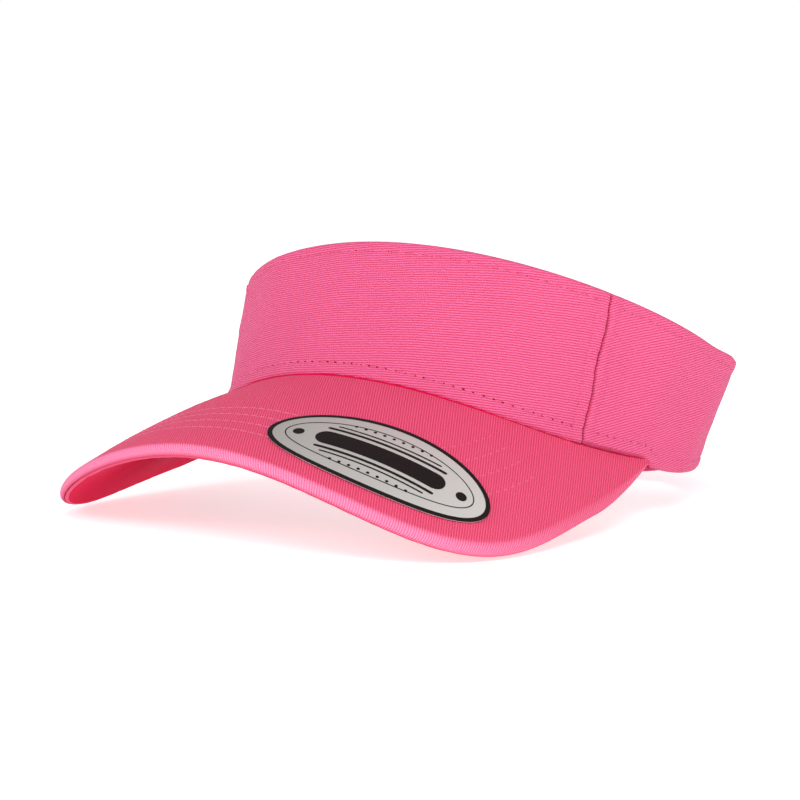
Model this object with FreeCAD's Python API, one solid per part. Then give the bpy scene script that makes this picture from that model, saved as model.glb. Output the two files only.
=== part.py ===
"""Sun visor: a curved bill, an open crown band and a hook-and-loop closure at the back.

Millimetres. The pieces are built in the band's own frame: z runs along the band's axis, the
bill points to -y, and +x is the wearer's left. Angles go round the band from 0 at the middle
of the forehead, positive towards the wearer's left, to 180 at the middle of the back. At the
end everything is tipped back by REST_PITCH, the way the visor stands on a table on the bill's
two side edges and the closure's lower edge, with the origin under the middle of its box.
"""
import FreeCAD
import Part
import math
import os

# Band plan, at the lower edge of the cloth's outer face
HALF_WIDTH = 85.0
FRONT_DEPTH = 81.7
FRONT_TAPER = 0.043
BACK_RADIUS = 82.0
BACK_ROUND_FROM = 45.0
FLEX_ANGLE = 82.2

# Lean of the band wall, in degrees, and the height of the rim
LEAN_MEAN = 3.0
LEAN_ONCE = -4.33
LEAN_TWICE = -8.08
LEAN_BACK = 1.0
LEAN_BLEND = (105.0, 134.0)
RIM_MEAN = 36.1
RIM_ONCE = 5.96
RIM_TWICE = 3.2
RIM_PEAK = (85.0, 103.5, 129.0)
RIM_PEAK_RISE = 3.0

# Bill
BILL_DROOP = 27.8
BILL_START_Z = -1.73
BILL_LENGTH = 64.8
BILL_HALF_WIDTH = 89.2
BILL_WIDEST_AT = -12.7
BILL_SQUARENESS = 3.68
BILL_RADIUS_BACK = 121.2
BILL_RADIUS_FRONT = 116.0
BILL_CROWN = 6.7
BILL_CORNER_WIDTH = 0.65
BILL_CORNER_CURVE = 1.6
BILL_CORNER_PRESS = 0.6
SEAM_AT_WIDEST = 62.0

# Where the seams and edges come round the band
SIDE_SEAM = 57.2
BILL_END = 77.7
BILL_SEAM_GAP = 0.35
CORNER_DIP = 2.3
CORNER_DIP_END = 81.9
CLOSURE_LEVEL = 129.0
FLEX_GAP = 1.3
SWEATBAND_END = 75.5
SWEATBAND_HEIGHT = 28.0
ANCHOR_START = 131.0
PEEL_ANGLE = 136.4
PEEL_GAP = 0.65
STRAP_TIP = 178.4
HOOK_PATCH = (149.0, 176.5)
LOOP_STRAP = (-132.4, -221.2)
LOOP_PILE = (-178.0, -219.4)
TUCK = (-143.0, -175.0)

# Thicknesses, and the air between plies that lie on each other
TWILL = 0.6
BUCKRAM = 0.5
FOAM = 1.3
TAPE = 0.4
HOOK_THICKNESS = 0.8
LOOP_THICKNESS = 0.6
CLOSURE_GAP = 0.5
PLY_AIR = 0.05
COVER = 0.7
BOARD = 2.8
BOARD_INSET = 1.6

# Stitching
THREAD_WIDTH = 0.45
THREAD_LOW = 0.03
THREAD_HIGH = 0.25
BILL_ROWS_FROM_EDGE = (13.6, 18.8, 24.1, 29.4)
RIM_ROW_DROP = 3.6
SEAM_ROW_RISE = 4.2
SIDE_ROW_OFFSET = 3.6

# Foil sticker and the blank inside label
STICKER_CENTRE = (49.7, 37.9)
STICKER_HALF_LENGTH = 35.7
STICKER_HALF_WIDTH = 16.5
STICKER_TURN = -14.3
STICKER_BORDER = 1.5
STICKER_LOW = 0.45
FOIL = 0.15
PRINT = 0.08
LABEL_HALF_ANGLE = 10.0
LABEL_HEIGHT = 9.0

REST_PITCH = 19.0

BILL_FORWARD = (0.0, -math.cos(math.radians(BILL_DROOP)), -math.sin(math.radians(BILL_DROOP)))
BILL_UP = (0.0, -math.sin(math.radians(BILL_DROOP)), math.cos(math.radians(BILL_DROOP)))


def smooth(value, start, end):
    """0 before start, 1 after end, and a smooth rise between."""
    part = min(1.0, max(0.0, (value - start) / (end - start)))
    return part * part * (3.0 - 2.0 * part)


def wrap(angle):
    """The same direction round the band, between -180 and 180."""
    return (angle + 180.0) % 360.0 - 180.0


BACK_CENTRE_Y = -FRONT_DEPTH * math.cos(math.radians(FLEX_ANGLE))
BACK_START = math.atan2(-BACK_CENTRE_Y, HALF_WIDTH)


def back_radius(turn):
    """Distance from the back arc's centre, from the side of the head to the round back."""
    full = math.radians(BACK_ROUND_FROM) - BACK_START
    part = min(1.0, max(0.0, (turn - BACK_START) / full))
    side = math.hypot(HALF_WIDTH, BACK_CENTRE_Y)
    slope = side * math.tan(BACK_START - math.atan2(FRONT_TAPER * HALF_WIDTH, FRONT_DEPTH))
    from_side = 2.0 * part ** 3 - 3.0 * part ** 2 + 1.0
    from_slope = part ** 3 - 2.0 * part ** 2 + part
    return BACK_RADIUS + from_side * (side - BACK_RADIUS) + from_slope * slope * full


def plan(angle):
    """The band's outline at z = 0."""
    angle = wrap(angle)
    side = math.copysign(1.0, angle)
    turn = math.radians(abs(angle))
    if turn <= math.pi / 2.0:
        cosine = math.cos(turn)
        return (side * HALF_WIDTH * math.sin(turn) * (1.0 + FRONT_TAPER * cosine),
                -FRONT_DEPTH * cosine)
    turn = BACK_START + (turn / (math.pi / 2.0) - 1.0) * (math.pi / 2.0 - BACK_START)
    radius = back_radius(turn)
    return (side * radius * math.cos(turn), BACK_CENTRE_Y + radius * math.sin(turn))


def outward(angle):
    """Unit vector out of the band, square to its outline."""
    step = 0.05
    x1, y1 = plan(angle - step)
    x2, y2 = plan(angle + step)
    length = math.hypot(x2 - x1, y2 - y1)
    return ((y2 - y1) / length, -(x2 - x1) / length)


def lean(angle):
    """How far the wall leans outward as it rises, in degrees."""
    turn = math.radians(wrap(angle))
    front = LEAN_MEAN + LEAN_ONCE * math.cos(turn) + LEAN_TWICE * math.cos(2.0 * turn)
    share = smooth(abs(wrap(angle)), LEAN_BLEND[0], LEAN_BLEND[1])
    return front + share * (LEAN_BACK - front)


def wall(angle, z, offset=0.0):
    """A point of the band: offset is outward from the cloth's outer face."""
    x, y = plan(angle)
    nx, ny = outward(angle)
    out = z * math.tan(math.radians(lean(angle))) + offset
    return FreeCAD.Vector(x + out * nx, y + out * ny, z)


def rim(angle):
    """Height of the band's upper edge."""
    turn = math.radians(wrap(angle))
    side = abs(wrap(angle))
    start, top, end = RIM_PEAK
    peak = smooth(side, start, top) - smooth(side, top, end)
    return (RIM_MEAN + RIM_ONCE * math.cos(turn) + RIM_TWICE * math.cos(2.0 * turn)
            + RIM_PEAK_RISE * peak)


BILL_START = wall(0.0, BILL_START_Z)


def bill_drop(x, along):
    """How far the bill's curve falls below its middle line's plane."""
    radius = BILL_RADIUS_BACK + (BILL_RADIUS_FRONT - BILL_RADIUS_BACK) * along / BILL_LENGTH
    return radius - math.sqrt(radius * radius - x * x) + BILL_CROWN * (along / BILL_LENGTH) ** 2


def bill_surface(x, along):
    """A point of the bill's top face, along mm forward of the middle of the seam."""
    drop = bill_drop(x, along)
    return BILL_START + FreeCAD.Vector(
        x,
        along * BILL_FORWARD[1] - drop * BILL_UP[1],
        along * BILL_FORWARD[2] - drop * BILL_UP[2])


def bill_point(x, along, offset=0.0):
    """A point offset square to the bill's top face, upward when positive."""
    step = 0.05
    across = bill_surface(x + step, along) - bill_surface(x - step, along)
    forward = bill_surface(x, along + step) - bill_surface(x, along - step)
    normal = forward.cross(across).normalize()
    return bill_surface(x, along) + normal * offset


def above_bill(angle, z):
    """Height of a point of the band over the bill's top face, measured square to its plane."""
    gap = wall(angle, z) - BILL_START
    along = gap.y * BILL_FORWARD[1] + gap.z * BILL_FORWARD[2]
    rise = gap.y * BILL_UP[1] + gap.z * BILL_UP[2]
    return rise + bill_drop(gap.x, along)


def seam_height(angle):
    """Height at which the band meets the bill's top face, found by halving."""
    low = -40.0
    high = 30.0
    for _ in range(50):
        middle = 0.5 * (low + high)
        if above_bill(angle, middle) > 0.0:
            high = middle
        else:
            low = middle
    return 0.5 * (low + high)


def seam_along(angle):
    """The seam point's place on the bill: across, and forward of the middle of the seam."""
    gap = wall(angle, seam_height(angle)) - BILL_START
    return (gap.x, gap.y * BILL_FORWARD[1] + gap.z * BILL_FORWARD[2])


def bill_outline(inset):
    """The bill's free edge, brought in by inset, as a function of a direction in degrees."""
    def point(direction):
        turn = math.radians(direction)
        depth = BILL_LENGTH - BILL_WIDEST_AT - inset
        across = abs(math.sin(turn)) / (BILL_HALF_WIDTH - inset)
        forward = abs(math.cos(turn)) / depth
        radius = (across ** BILL_SQUARENESS + forward ** BILL_SQUARENESS) ** (-1.0 / BILL_SQUARENESS)
        return (radius * math.sin(turn), BILL_WIDEST_AT + radius * math.cos(turn))
    return point


def spread(start, end, count):
    """Evenly spaced values, both ends included."""
    return [start + (end - start) * index / (count - 1.0) for index in range(count)]


def face_through(grid):
    """A smooth surface through a grid of points."""
    surface = Part.BSplineSurface()
    surface.interpolate(grid)
    return surface


def border(surface):
    """The surface's four edge curves."""
    u0, u1, v0, v1 = surface.bounds()
    curves = (surface.uIso(u0), surface.uIso(u1), surface.vIso(v0), surface.vIso(v1))
    return [curve.toShape() for curve in curves]


def ply(outer, inner):
    """A closed solid between two grids of points that face each other."""
    top = face_through(outer)
    low = face_through(inner)
    sides = [Part.makeRuledSurface(a, b) for a, b in zip(border(top), border(low))]
    shell = Part.makeShell([top.toShape(), low.toShape()] + sides)
    shell.sewShape()
    solid = Part.makeSolid(shell)
    if solid.Volume < 0.0:
        solid.reverse()
    return solid


def as_function(value):
    """A number or a function of the angle, as a function."""
    if callable(value):
        return value
    return lambda angle: value


def band_ply(angles, low, high, outer, thickness, rows=4):
    """A ply of cloth round part of the band.

    low and high are the heights of its edges, and outer is how far its outer face stands out
    from the band's; each is a number or a function of the angle.
    """
    low, high, outer = as_function(low), as_function(high), as_function(outer)
    grids = []
    for depth in (0.0, thickness):
        grids.append([[wall(angle, height, outer(angle) - depth)
                       for height in spread(low(angle), high(angle), rows)]
                      for angle in angles])
    return ply(grids[0], grids[1])


def bill_lines(inset):
    """Lines across the bill: band angle, then the seam's and the free edge's places."""
    outline = bill_outline(inset)
    lines = []
    for direction in spread(-90.0, 90.0, 41):
        angle = direction / 90.0 * SEAM_AT_WIDEST
        lines.append((abs(angle), seam_along(angle), outline(direction)))
    last = BILL_END - 1.0
    end_x, end_along = seam_along(last)
    widest_x, widest_along = outline(90.0)
    for share in (0.25, 0.5, 0.75, 1.0):
        angle = SEAM_AT_WIDEST + share * (last - SEAM_AT_WIDEST)
        x, along = seam_along(angle)
        bend = share ** BILL_CORNER_CURVE
        edge_x = widest_x + bend * (end_x + BILL_CORNER_WIDTH - widest_x)
        edge_along = widest_along + share * (end_along - widest_along)
        lines.append((angle, (x, along), (edge_x, edge_along)))
        lines.insert(0, (angle, (-x, along), (-edge_x, edge_along)))
    return lines


def bill_ply(top, thickness, inset):
    """A ply of the bill, from the seam with the band to the free edge.

    The plies are pressed thinner towards the corners, where they run into the band's seam.
    """
    grids = []
    for offset in (top, top - thickness):
        grid = []
        for angle, seam, edge in bill_lines(inset):
            press = 1.0 - BILL_CORNER_PRESS * smooth(angle, SEAM_AT_WIDEST, BILL_END)
            row = []
            for share in spread(0.0, 1.0, 9):
                x = seam[0] + share * (edge[0] - seam[0])
                along = seam[1] + share * (edge[1] - seam[1]) + BILL_SEAM_GAP * (1.0 - share)
                row.append(bill_point(x, along, offset * press))
            grid.append(row)
        grids.append(grid)
    return ply(grids[0], grids[1])


BOTTOM_OF_BILL = -(2.0 * COVER + BOARD + 2.0 * PLY_AIR)


def rest_height(point):
    """Height of a band-frame point over the table's direction, once tipped back."""
    pitch = math.radians(REST_PITCH)
    return -point.y * math.sin(pitch) + point.z * math.cos(pitch)


def closure_low():
    """Height of the closure's lower edge that lets it stand level with the bill's side edges."""
    outline = bill_outline(0.0)
    lowest = min(rest_height(bill_point(*outline(direction), BOTTOM_OF_BILL))
                 for direction in spread(40.0, 90.0, 101))
    pitch = math.radians(REST_PITCH)
    back = BACK_CENTRE_Y + BACK_RADIUS
    return (lowest + back * math.sin(pitch)) / math.cos(pitch)


BILL_END_Z = seam_height(BILL_END)
CLOSURE_LOW = closure_low()


def band_low(angle):
    """Height of the band's lower edge.

    It follows the bill's seam, dips over the bill's corner and rises to the closure.
    """
    turn = abs(wrap(angle))
    if turn <= BILL_END:
        return seam_height(turn) + BILL_SEAM_GAP
    start = BILL_END_Z + BILL_SEAM_GAP
    dipped = start - CORNER_DIP * smooth(turn, BILL_END, CORNER_DIP_END)
    rise = CLOSURE_LOW - start + CORNER_DIP
    return dipped + rise * smooth(turn, BILL_END, CLOSURE_LEVEL)


def sides(start, end):
    """The same stretch on the wearer's left and right, by name."""
    return (("left", start, end), ("right", -end, -start))


def inner_offset():
    """Outer face of the plies behind the front panel and its backing."""
    return -(TWILL + BUCKRAM + 2.0 * PLY_AIR)


def front_parts():
    """The front panel, its stiff backing and its lining."""
    angles = spread(-SIDE_SEAM, SIDE_SEAM, 33)
    margin = 2.0
    return {
        "front_panel": band_ply(angles, band_low, rim, 0.0, TWILL),
        "front_backing": band_ply(
            angles, lambda a: band_low(a) + margin, lambda a: rim(a) - margin,
            -(TWILL + PLY_AIR), BUCKRAM),
        "front_lining": band_ply(
            angles, band_low, lambda a: rim(a) - 0.5 * margin, inner_offset(), TWILL),
    }


def temple_parts():
    """The side panels' front ends, sewn to the bill's corners, with linings and seam tapes."""
    made = {}
    seam_gap = 0.25
    for side, start, end in sides(SIDE_SEAM + seam_gap, FLEX_ANGLE - 0.5 * FLEX_GAP):
        angles = spread(start, end, 15)
        made[side + "_temple_panel"] = band_ply(angles, band_low, rim, 0.0, TWILL)
        made[side + "_temple_lining"] = band_ply(
            angles, band_low, lambda a: rim(a) - 1.0, inner_offset(), TWILL)
    tape_low = inner_offset() - TWILL - PLY_AIR
    for side, start, end in sides(SIDE_SEAM - 3.5, SIDE_SEAM + 3.5):
        made[side + "_seam_tape"] = band_ply(
            spread(start, end, 5), lambda a: band_low(a) + 1.0, lambda a: rim(a) - 2.0,
            tape_low, TAPE)
    return made


def sweatband_parts():
    """The padded band against the forehead."""
    angles = spread(-SWEATBAND_END, SWEATBAND_END, 33)
    foam_face = inner_offset() - TWILL - TAPE - 2.0 * PLY_AIR - 0.3
    foam_margin = 2.5
    return {
        "sweatband_foam": band_ply(
            angles[1:-1], lambda a: band_low(a) + foam_margin,
            lambda a: band_low(a) + SWEATBAND_HEIGHT - foam_margin, foam_face, FOAM),
        "sweatband_cover": band_ply(
            angles, lambda a: band_low(a) + 0.5, lambda a: band_low(a) + SWEATBAND_HEIGHT,
            foam_face - FOAM - PLY_AIR, TWILL),
    }


def wing_parts():
    """The side panels behind the flex lines, with their linings."""
    made = {}
    ends = {"left": ANCHOR_START - 0.3, "right": -LOOP_STRAP[0] - 0.3}
    for side, sign in (("left", 1.0), ("right", -1.0)):
        start = FLEX_ANGLE + 0.5 * FLEX_GAP
        angles = spread(sign * start, sign * ends[side], 17)
        made[side + "_side_panel"] = band_ply(angles, band_low, rim, 0.0, TWILL)
        made[side + "_side_lining"] = band_ply(
            angles, band_low, lambda a: rim(a) - 1.0, inner_offset(), TWILL)
    return made


def rounded(edge, tip, corner_angle, corner, inward):
    """A strap edge that turns in round a corner before the tip."""
    def height(angle):
        share = min(1.0, max(0.0, 1.0 - abs(tip - angle) / corner_angle))
        return edge(angle) + inward * corner * (1.0 - math.sqrt(max(0.0, 1.0 - share * share)))
    return height


def strap_angles(start, tip, corner_angle):
    """Evenly spaced along the strap, and closer together round the tip's corners."""
    sign = math.copysign(1.0, tip - start)
    body = spread(start, tip - sign * corner_angle, 15)
    turns = [math.sin(math.radians(value)) for value in spread(0.0, 86.0, 9)]
    return body + [tip - sign * corner_angle * (1.0 - turn) for turn in turns[1:]]


def strap_edges(tip, margin=0.0):
    """A strap's lower and upper edges, with round corners at its tip."""
    corner = 8.0 - margin
    corner_angle = math.degrees(corner / BACK_RADIUS) * 90.0 / (90.0 - math.degrees(BACK_START))
    low = rounded(lambda a: band_low(a) + margin, tip, corner_angle, corner, 1.0)
    high = rounded(lambda a: rim(a) - margin, tip, corner_angle, corner, -1.0)
    return corner_angle, low, high


def closure_parts():
    """The outer strap with its hook patch, and the inner strap with its loop pile."""
    made = {}
    strap = 2.0 * TWILL + PLY_AIR
    made["strap_anchor"] = band_ply(
        spread(ANCHOR_START, PEEL_ANGLE - PEEL_GAP, 4), band_low, rim, 0.0, strap)
    corner_angle, low, high = strap_edges(STRAP_TIP)
    angles = strap_angles(PEEL_ANGLE + PEEL_GAP, STRAP_TIP, corner_angle)
    made["closure_strap"] = band_ply(angles, low, high, 0.0, TWILL)
    made["closure_strap_lining"] = band_ply(angles, low, high, -(TWILL + PLY_AIR), TWILL)
    patch = spread(HOOK_PATCH[0], HOOK_PATCH[1], 9)
    margin = 3.5
    made["hook_patch"] = band_ply(
        patch, lambda a: low(a) + margin, lambda a: high(a) - margin,
        -(strap + PLY_AIR), HOOK_THICKNESS)

    loop_face = -(strap + PLY_AIR + HOOK_THICKNESS + CLOSURE_GAP)
    tucked = loop_face - LOOP_THICKNESS - PLY_AIR

    def tuck(angle):
        return tucked * smooth(-angle, -TUCK[0], -TUCK[1])

    corner_angle, low, high = strap_edges(LOOP_STRAP[1])
    angles = strap_angles(LOOP_STRAP[0], LOOP_STRAP[1], corner_angle)
    made["loop_strap"] = band_ply(angles, low, high, tuck, strap)
    patch = spread(LOOP_PILE[0], LOOP_PILE[1], 13)
    made["loop_pile"] = band_ply(
        patch, lambda a: low(a) + margin, lambda a: high(a) - margin, loop_face, LOOP_THICKNESS)
    return made


def bill_parts():
    """The bill's stiff board between its two cloth covers."""
    board_top = -(COVER + PLY_AIR)
    return {
        "bill_top_cover": bill_ply(0.0, COVER, 0.0),
        "bill_board": bill_ply(board_top, BOARD, BOARD_INSET),
        "bill_bottom_cover": bill_ply(board_top - BOARD - PLY_AIR, COVER, 0.0),
    }


def bill_thread(inset, reach):
    """A row of top-stitching on the bill, parallel to its free edge."""
    outline = bill_outline(inset)
    grids = []
    for offset in (THREAD_HIGH, THREAD_LOW):
        grid = []
        for direction in spread(-reach, reach, 61):
            x, along = outline(direction)
            size = math.hypot(x, along - BILL_WIDEST_AT)
            row = []
            for side in (-0.5, 0.0, 0.5):
                scale = 1.0 + side * THREAD_WIDTH / size
                row.append(bill_point(
                    x * scale, BILL_WIDEST_AT + (along - BILL_WIDEST_AT) * scale, offset))
            grid.append(row)
        grids.append(grid)
    return ply(grids[0], grids[1])


def band_thread(angles, height):
    """A row of top-stitching round the band at a height given as a function of the angle."""
    half = 0.5 * THREAD_WIDTH
    return band_ply(
        angles, lambda a: height(a) - half, lambda a: height(a) + half,
        THREAD_HIGH, THREAD_HIGH - THREAD_LOW, 3)


def upright_thread(angle):
    """A row of top-stitching beside a side seam."""
    half = math.degrees(0.5 * THREAD_WIDTH / HALF_WIDTH)
    return band_ply(
        (angle - half, angle, angle + half), lambda a: band_low(a) + 1.5,
        lambda a: rim(a) - 1.5, THREAD_HIGH, THREAD_HIGH - THREAD_LOW)


def stitching():
    """The visible rows of thread, grouped by what they hold."""
    bill_rows = [bill_thread(inset, 78.0) for inset in BILL_ROWS_FROM_EDGE]
    side_turn = math.degrees(SIDE_ROW_OFFSET / HALF_WIDTH)
    front = spread(-SIDE_SEAM + side_turn + 1.0, SIDE_SEAM - side_turn - 1.0, 33)
    front_rows = [
        band_thread(front, lambda a: rim(a) - RIM_ROW_DROP),
        band_thread(front, lambda a: band_low(a) + SEAM_ROW_RISE),
        upright_thread(SIDE_SEAM - side_turn),
        upright_thread(-SIDE_SEAM + side_turn),
    ]
    temple_rows = []
    for _, start, end in sides(SIDE_SEAM + side_turn + 1.0, FLEX_ANGLE - FLEX_GAP):
        angles = spread(start, end, 7)
        temple_rows.append(band_thread(angles, lambda a: rim(a) - RIM_ROW_DROP))
        temple_rows.append(band_thread(angles, lambda a: band_low(a) + SEAM_ROW_RISE))
    for sign in (-1.0, 1.0):
        temple_rows.append(upright_thread(sign * (SIDE_SEAM + side_turn)))
    return {
        "bill_stitching": Part.makeCompound(bill_rows),
        "front_stitching": Part.makeCompound(front_rows),
        "temple_stitching": Part.makeCompound(temple_rows),
    }


def sticker_point(long_way, short_way, offset):
    """A point of the flat oval laid on the bill, long_way and short_way from its middle."""
    turn = math.radians(STICKER_TURN)
    arc = STICKER_CENTRE[0] + long_way * math.cos(turn) - short_way * math.sin(turn)
    along = STICKER_CENTRE[1] + long_way * math.sin(turn) + short_way * math.cos(turn)
    radius = 0.5 * (BILL_RADIUS_BACK + BILL_RADIUS_FRONT)
    return bill_point(radius * math.sin(arc / radius), along, offset)


def sticker_parts():
    """The oval foil and the printed rim on it, which is open by a hair at one end."""
    foil = []
    for offset in (STICKER_LOW + FOIL, STICKER_LOW):
        grid = []
        for turn in spread(-80.0, 80.0, 21):
            reach = STICKER_HALF_WIDTH * math.cos(math.radians(turn))
            long_way = STICKER_HALF_LENGTH * math.sin(math.radians(turn))
            grid.append([sticker_point(long_way, short_way, offset)
                         for short_way in spread(-reach, reach, 7)])
        foil.append(grid)
    ring = []
    low = STICKER_LOW + FOIL + 0.02
    for offset in (low + PRINT, low):
        grid = []
        for turn in spread(0.8, 359.2, 61):
            across, up = math.cos(math.radians(turn)), math.sin(math.radians(turn))
            grid.append([sticker_point((STICKER_HALF_LENGTH - 0.6 - inward) * across,
                                       (STICKER_HALF_WIDTH - 0.3 - inward) * up, offset)
                         for inward in spread(0.0, STICKER_BORDER, 3)])
        ring.append(grid)
    return {"sticker_foil": ply(*foil), "sticker_print": ply(*ring)}


def label_parts():
    """A blank woven label on the front lining, above the sweatband."""
    face = inner_offset() - TWILL - PLY_AIR
    return {"inner_label": band_ply(
        spread(-LABEL_HALF_ANGLE, LABEL_HALF_ANGLE, 7),
        lambda a: band_low(a) + SWEATBAND_HEIGHT + 2.5,
        lambda a: band_low(a) + SWEATBAND_HEIGHT + 2.5 + LABEL_HEIGHT, face, TAPE)}


def stand_up(parts):
    """Tip every piece back to the resting pose and put the origin under the box's middle."""
    axis = FreeCAD.Vector(1, 0, 0)
    for shape in parts.values():
        shape.rotate(FreeCAD.Vector(0, 0, 0), axis, -REST_PITCH)
    box = FreeCAD.BoundBox()
    for shape in parts.values():
        shape.tessellate(0.05)
        box.add(shape.optimalBoundingBox(False))
    move = FreeCAD.Vector(-box.Center.x, -box.Center.y, -box.ZMin)
    for shape in parts.values():
        shape.translate(move)
    return move


def describe_joints(move):
    """Print the flex lines and the peel line in the resting frame."""
    turn = FreeCAD.Rotation(FreeCAD.Vector(1, 0, 0), -REST_PITCH)
    middle = -0.5 * (TWILL - inner_offset() + TWILL)
    lines = {
        "left_flex": (FLEX_ANGLE, middle),
        "right_flex": (-FLEX_ANGLE, middle),
        "strap_peel": (PEEL_ANGLE, 0.0),
    }
    for name, (angle, offset) in lines.items():
        low = wall(angle, band_low(angle), offset)
        high = wall(angle, rim(angle), offset)
        direction = turn.multVec(high - low)
        direction.normalize()
        place = turn.multVec((low + high) * 0.5) + move
        print(name, [round(value, 3) for value in place], [round(value, 6) for value in direction])
    print("origin moved by", [round(value, 3) for value in move])


def main():
    os.makedirs("parts", exist_ok=True)
    parts = {}
    for group in (front_parts, temple_parts, sweatband_parts, wing_parts, closure_parts,
                  bill_parts, stitching, sticker_parts, label_parts):
        parts.update(group())
    move = stand_up(parts)
    for name, shape in parts.items():
        if not shape.isValid():
            print("not valid:", name)
        shape.exportStep("parts/" + name + ".step")
    describe_joints(move)


main()
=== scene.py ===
import bpy
import math
import numpy as np
from mathutils import Matrix, Vector


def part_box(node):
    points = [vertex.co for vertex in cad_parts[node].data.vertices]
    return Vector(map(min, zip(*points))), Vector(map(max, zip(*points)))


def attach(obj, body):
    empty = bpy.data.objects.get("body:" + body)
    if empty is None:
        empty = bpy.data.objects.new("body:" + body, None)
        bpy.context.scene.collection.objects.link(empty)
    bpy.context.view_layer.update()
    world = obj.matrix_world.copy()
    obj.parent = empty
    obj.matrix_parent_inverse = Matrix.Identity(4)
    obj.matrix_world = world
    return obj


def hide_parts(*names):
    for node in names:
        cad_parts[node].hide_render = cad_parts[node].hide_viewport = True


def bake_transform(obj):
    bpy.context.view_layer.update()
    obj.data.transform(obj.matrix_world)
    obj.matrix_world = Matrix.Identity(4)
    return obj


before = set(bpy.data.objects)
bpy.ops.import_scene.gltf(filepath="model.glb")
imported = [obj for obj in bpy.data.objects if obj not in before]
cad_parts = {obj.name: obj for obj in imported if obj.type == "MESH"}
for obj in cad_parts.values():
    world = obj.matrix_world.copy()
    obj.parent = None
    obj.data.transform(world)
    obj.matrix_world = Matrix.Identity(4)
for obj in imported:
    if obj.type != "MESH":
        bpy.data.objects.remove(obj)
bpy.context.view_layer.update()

# ---------------------------------------------------------------- driving sizes, millimetres
# The band's and the bill's shapes follow the CAD source, in the band's own frame: z runs along
# the band's axis, the bill points to -y, +x is the wearer's left, and angles run from 0 at the
# middle of the forehead to 180 at the middle of the back.
MM = 0.001
# The band's plan: an oval in front of the flex lines and a near circle behind them.
HALF_WIDTH = 85.0
FRONT_DEPTH = 81.7
FRONT_TAPER = 0.043
BACK_RADIUS = 82.0
BACK_ROUND_FROM = 45.0
FLEX_ANGLE = 82.2
# The wall's lean in degrees and the rim's height: a mean, a part once and a part twice round.
LEAN_MEAN = 3.0
LEAN_ONCE = -4.33
LEAN_TWICE = -8.08
LEAN_BACK = 1.0
LEAN_BLEND = (105.0, 134.0)
RIM_MEAN = 36.1
RIM_ONCE = 5.96
RIM_TWICE = 3.2
RIM_PEAK = (85.0, 103.5, 129.0)
RIM_PEAK_RISE = 3.0
# The bill: a curved sheet from the forehead, bounded by a squarish oval and by the crown.
BILL_DROOP = math.radians(27.8)
BILL_START_Z = -1.73
BILL_LENGTH = 64.8
BILL_HALF_WIDTH = 89.2
BILL_WIDEST_AT = -12.7
BILL_SQUARENESS = 3.68
BILL_RADIUS_BACK = 121.2
BILL_RADIUS_FRONT = 116.0
BILL_CROWN = 6.7
BILL_CORNER_WIDTH = 0.65
BILL_CORNER_CURVE = 1.6
BILL_CORNER_PRESS = 0.35
SEAM_AT_WIDEST = 62.0
SIDE_SEAM = 57.2
BILL_END = 77.7
# The band's lower edge: over the bill, dipping at the bill's corner, then on to the closure.
BILL_SEAM_GAP = 0.35
CORNER_DIP = 2.3
CORNER_DIP_START = 73.2
CORNER_DIP_END = 78.8
CLOSURE_LEVEL = 129.0
# Sweatband and closure: angles where the pieces start and end; negative is the wearer's right.
SWEATBAND_END = 75.5
SWEATBAND_HEIGHT = 28.0
ANCHOR_START = 131.0
PEEL_ANGLE = 136.4
STRAP_TIP = 178.4
HOOK_PATCH = (149.0, 176.5)
LOOP_STRAP = (-132.4, -221.2)
LOOP_PILE = (-178.0, -219.4)
TUCK = (143.0, 175.0)
TUCK_DEPTH = 3.25
BILL_THICKNESS = 4.3
REST_PITCH = math.radians(19.0)
MM_PER_DEGREE = math.radians(1.0) * HALF_WIDTH

# Stitching
STITCH = 3.22
BILL_ROWS_FROM_EDGE = (13.6, 18.8, 24.1, 29.4)
RIM_ROW_DROP = 3.6
SEAM_ROW_RISE = 4.2
SIDE_ROW = 3.6
PUCKER_WIDTH = 1.8

# Sticker, measured along the bill's curve
STICKER_CENTRE = (50.3, 38.1)
STICKER_HALF = (35.2, 16.2)
STICKER_TURN = math.radians(-14.3)
STICKER_LIFT = 0.45

# Colours, as they would be picked from a swatch (sRGB), except those marked as painted shade or painted
# highlight
PINK = (0.93, 0.36, 0.56)
PINK_BILL = (0.95, 0.30, 0.47)
# Painted shade: the bill's underside, which faces the floor, in a darker and redder copy of the bill's
# pink; the seam fold and the bill's binding wear it too, as painted shade in the seam lines.
PINK_UNDER_SHADED = (0.87, 0.015, 0.275)
PINK_LINING = (0.93, 0.32, 0.52)
THREAD_PINK = (0.96, 0.42, 0.60)
THREAD_BILL = (0.97, 0.45, 0.61)
# Painted highlight on the bill's rounded free edge, where the front light catches it.
EDGE_HIGHLIGHT_PINK = (1.0, 0.60, 0.78)
# Painted shade inside the needle holes, which are dark where light does not reach into them.
HOLE_SHADE = (0.42, 0.05, 0.16)


# ---------------------------------------------------------------- shape of the visor
def smooth(value, start, end):
    part = np.clip((value - start) / (end - start), 0.0, 1.0)
    return part * part * (3.0 - 2.0 * part)


def wrap(angle):
    return (np.asarray(angle, float) + 180.0) % 360.0 - 180.0


def turned(first, second, turn):
    """Two coordinates turned by an angle in radians, from the first towards the second."""
    c, s = math.cos(turn), math.sin(turn)
    return first * c - second * s, first * s + second * c


def unit(vectors):
    return vectors / np.linalg.norm(vectors, axis=-1, keepdims=True)


def halve(shape, low, high, steps, beyond):
    """The numbers between low and high from which a test holds, found by halving."""
    low, high = np.full(shape, low), np.full(shape, high)
    for _ in range(steps):
        middle = 0.5 * (low + high)
        past = beyond(middle)
        high = np.where(past, middle, high)
        low = np.where(past, low, middle)
    return 0.5 * (low + high)


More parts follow.
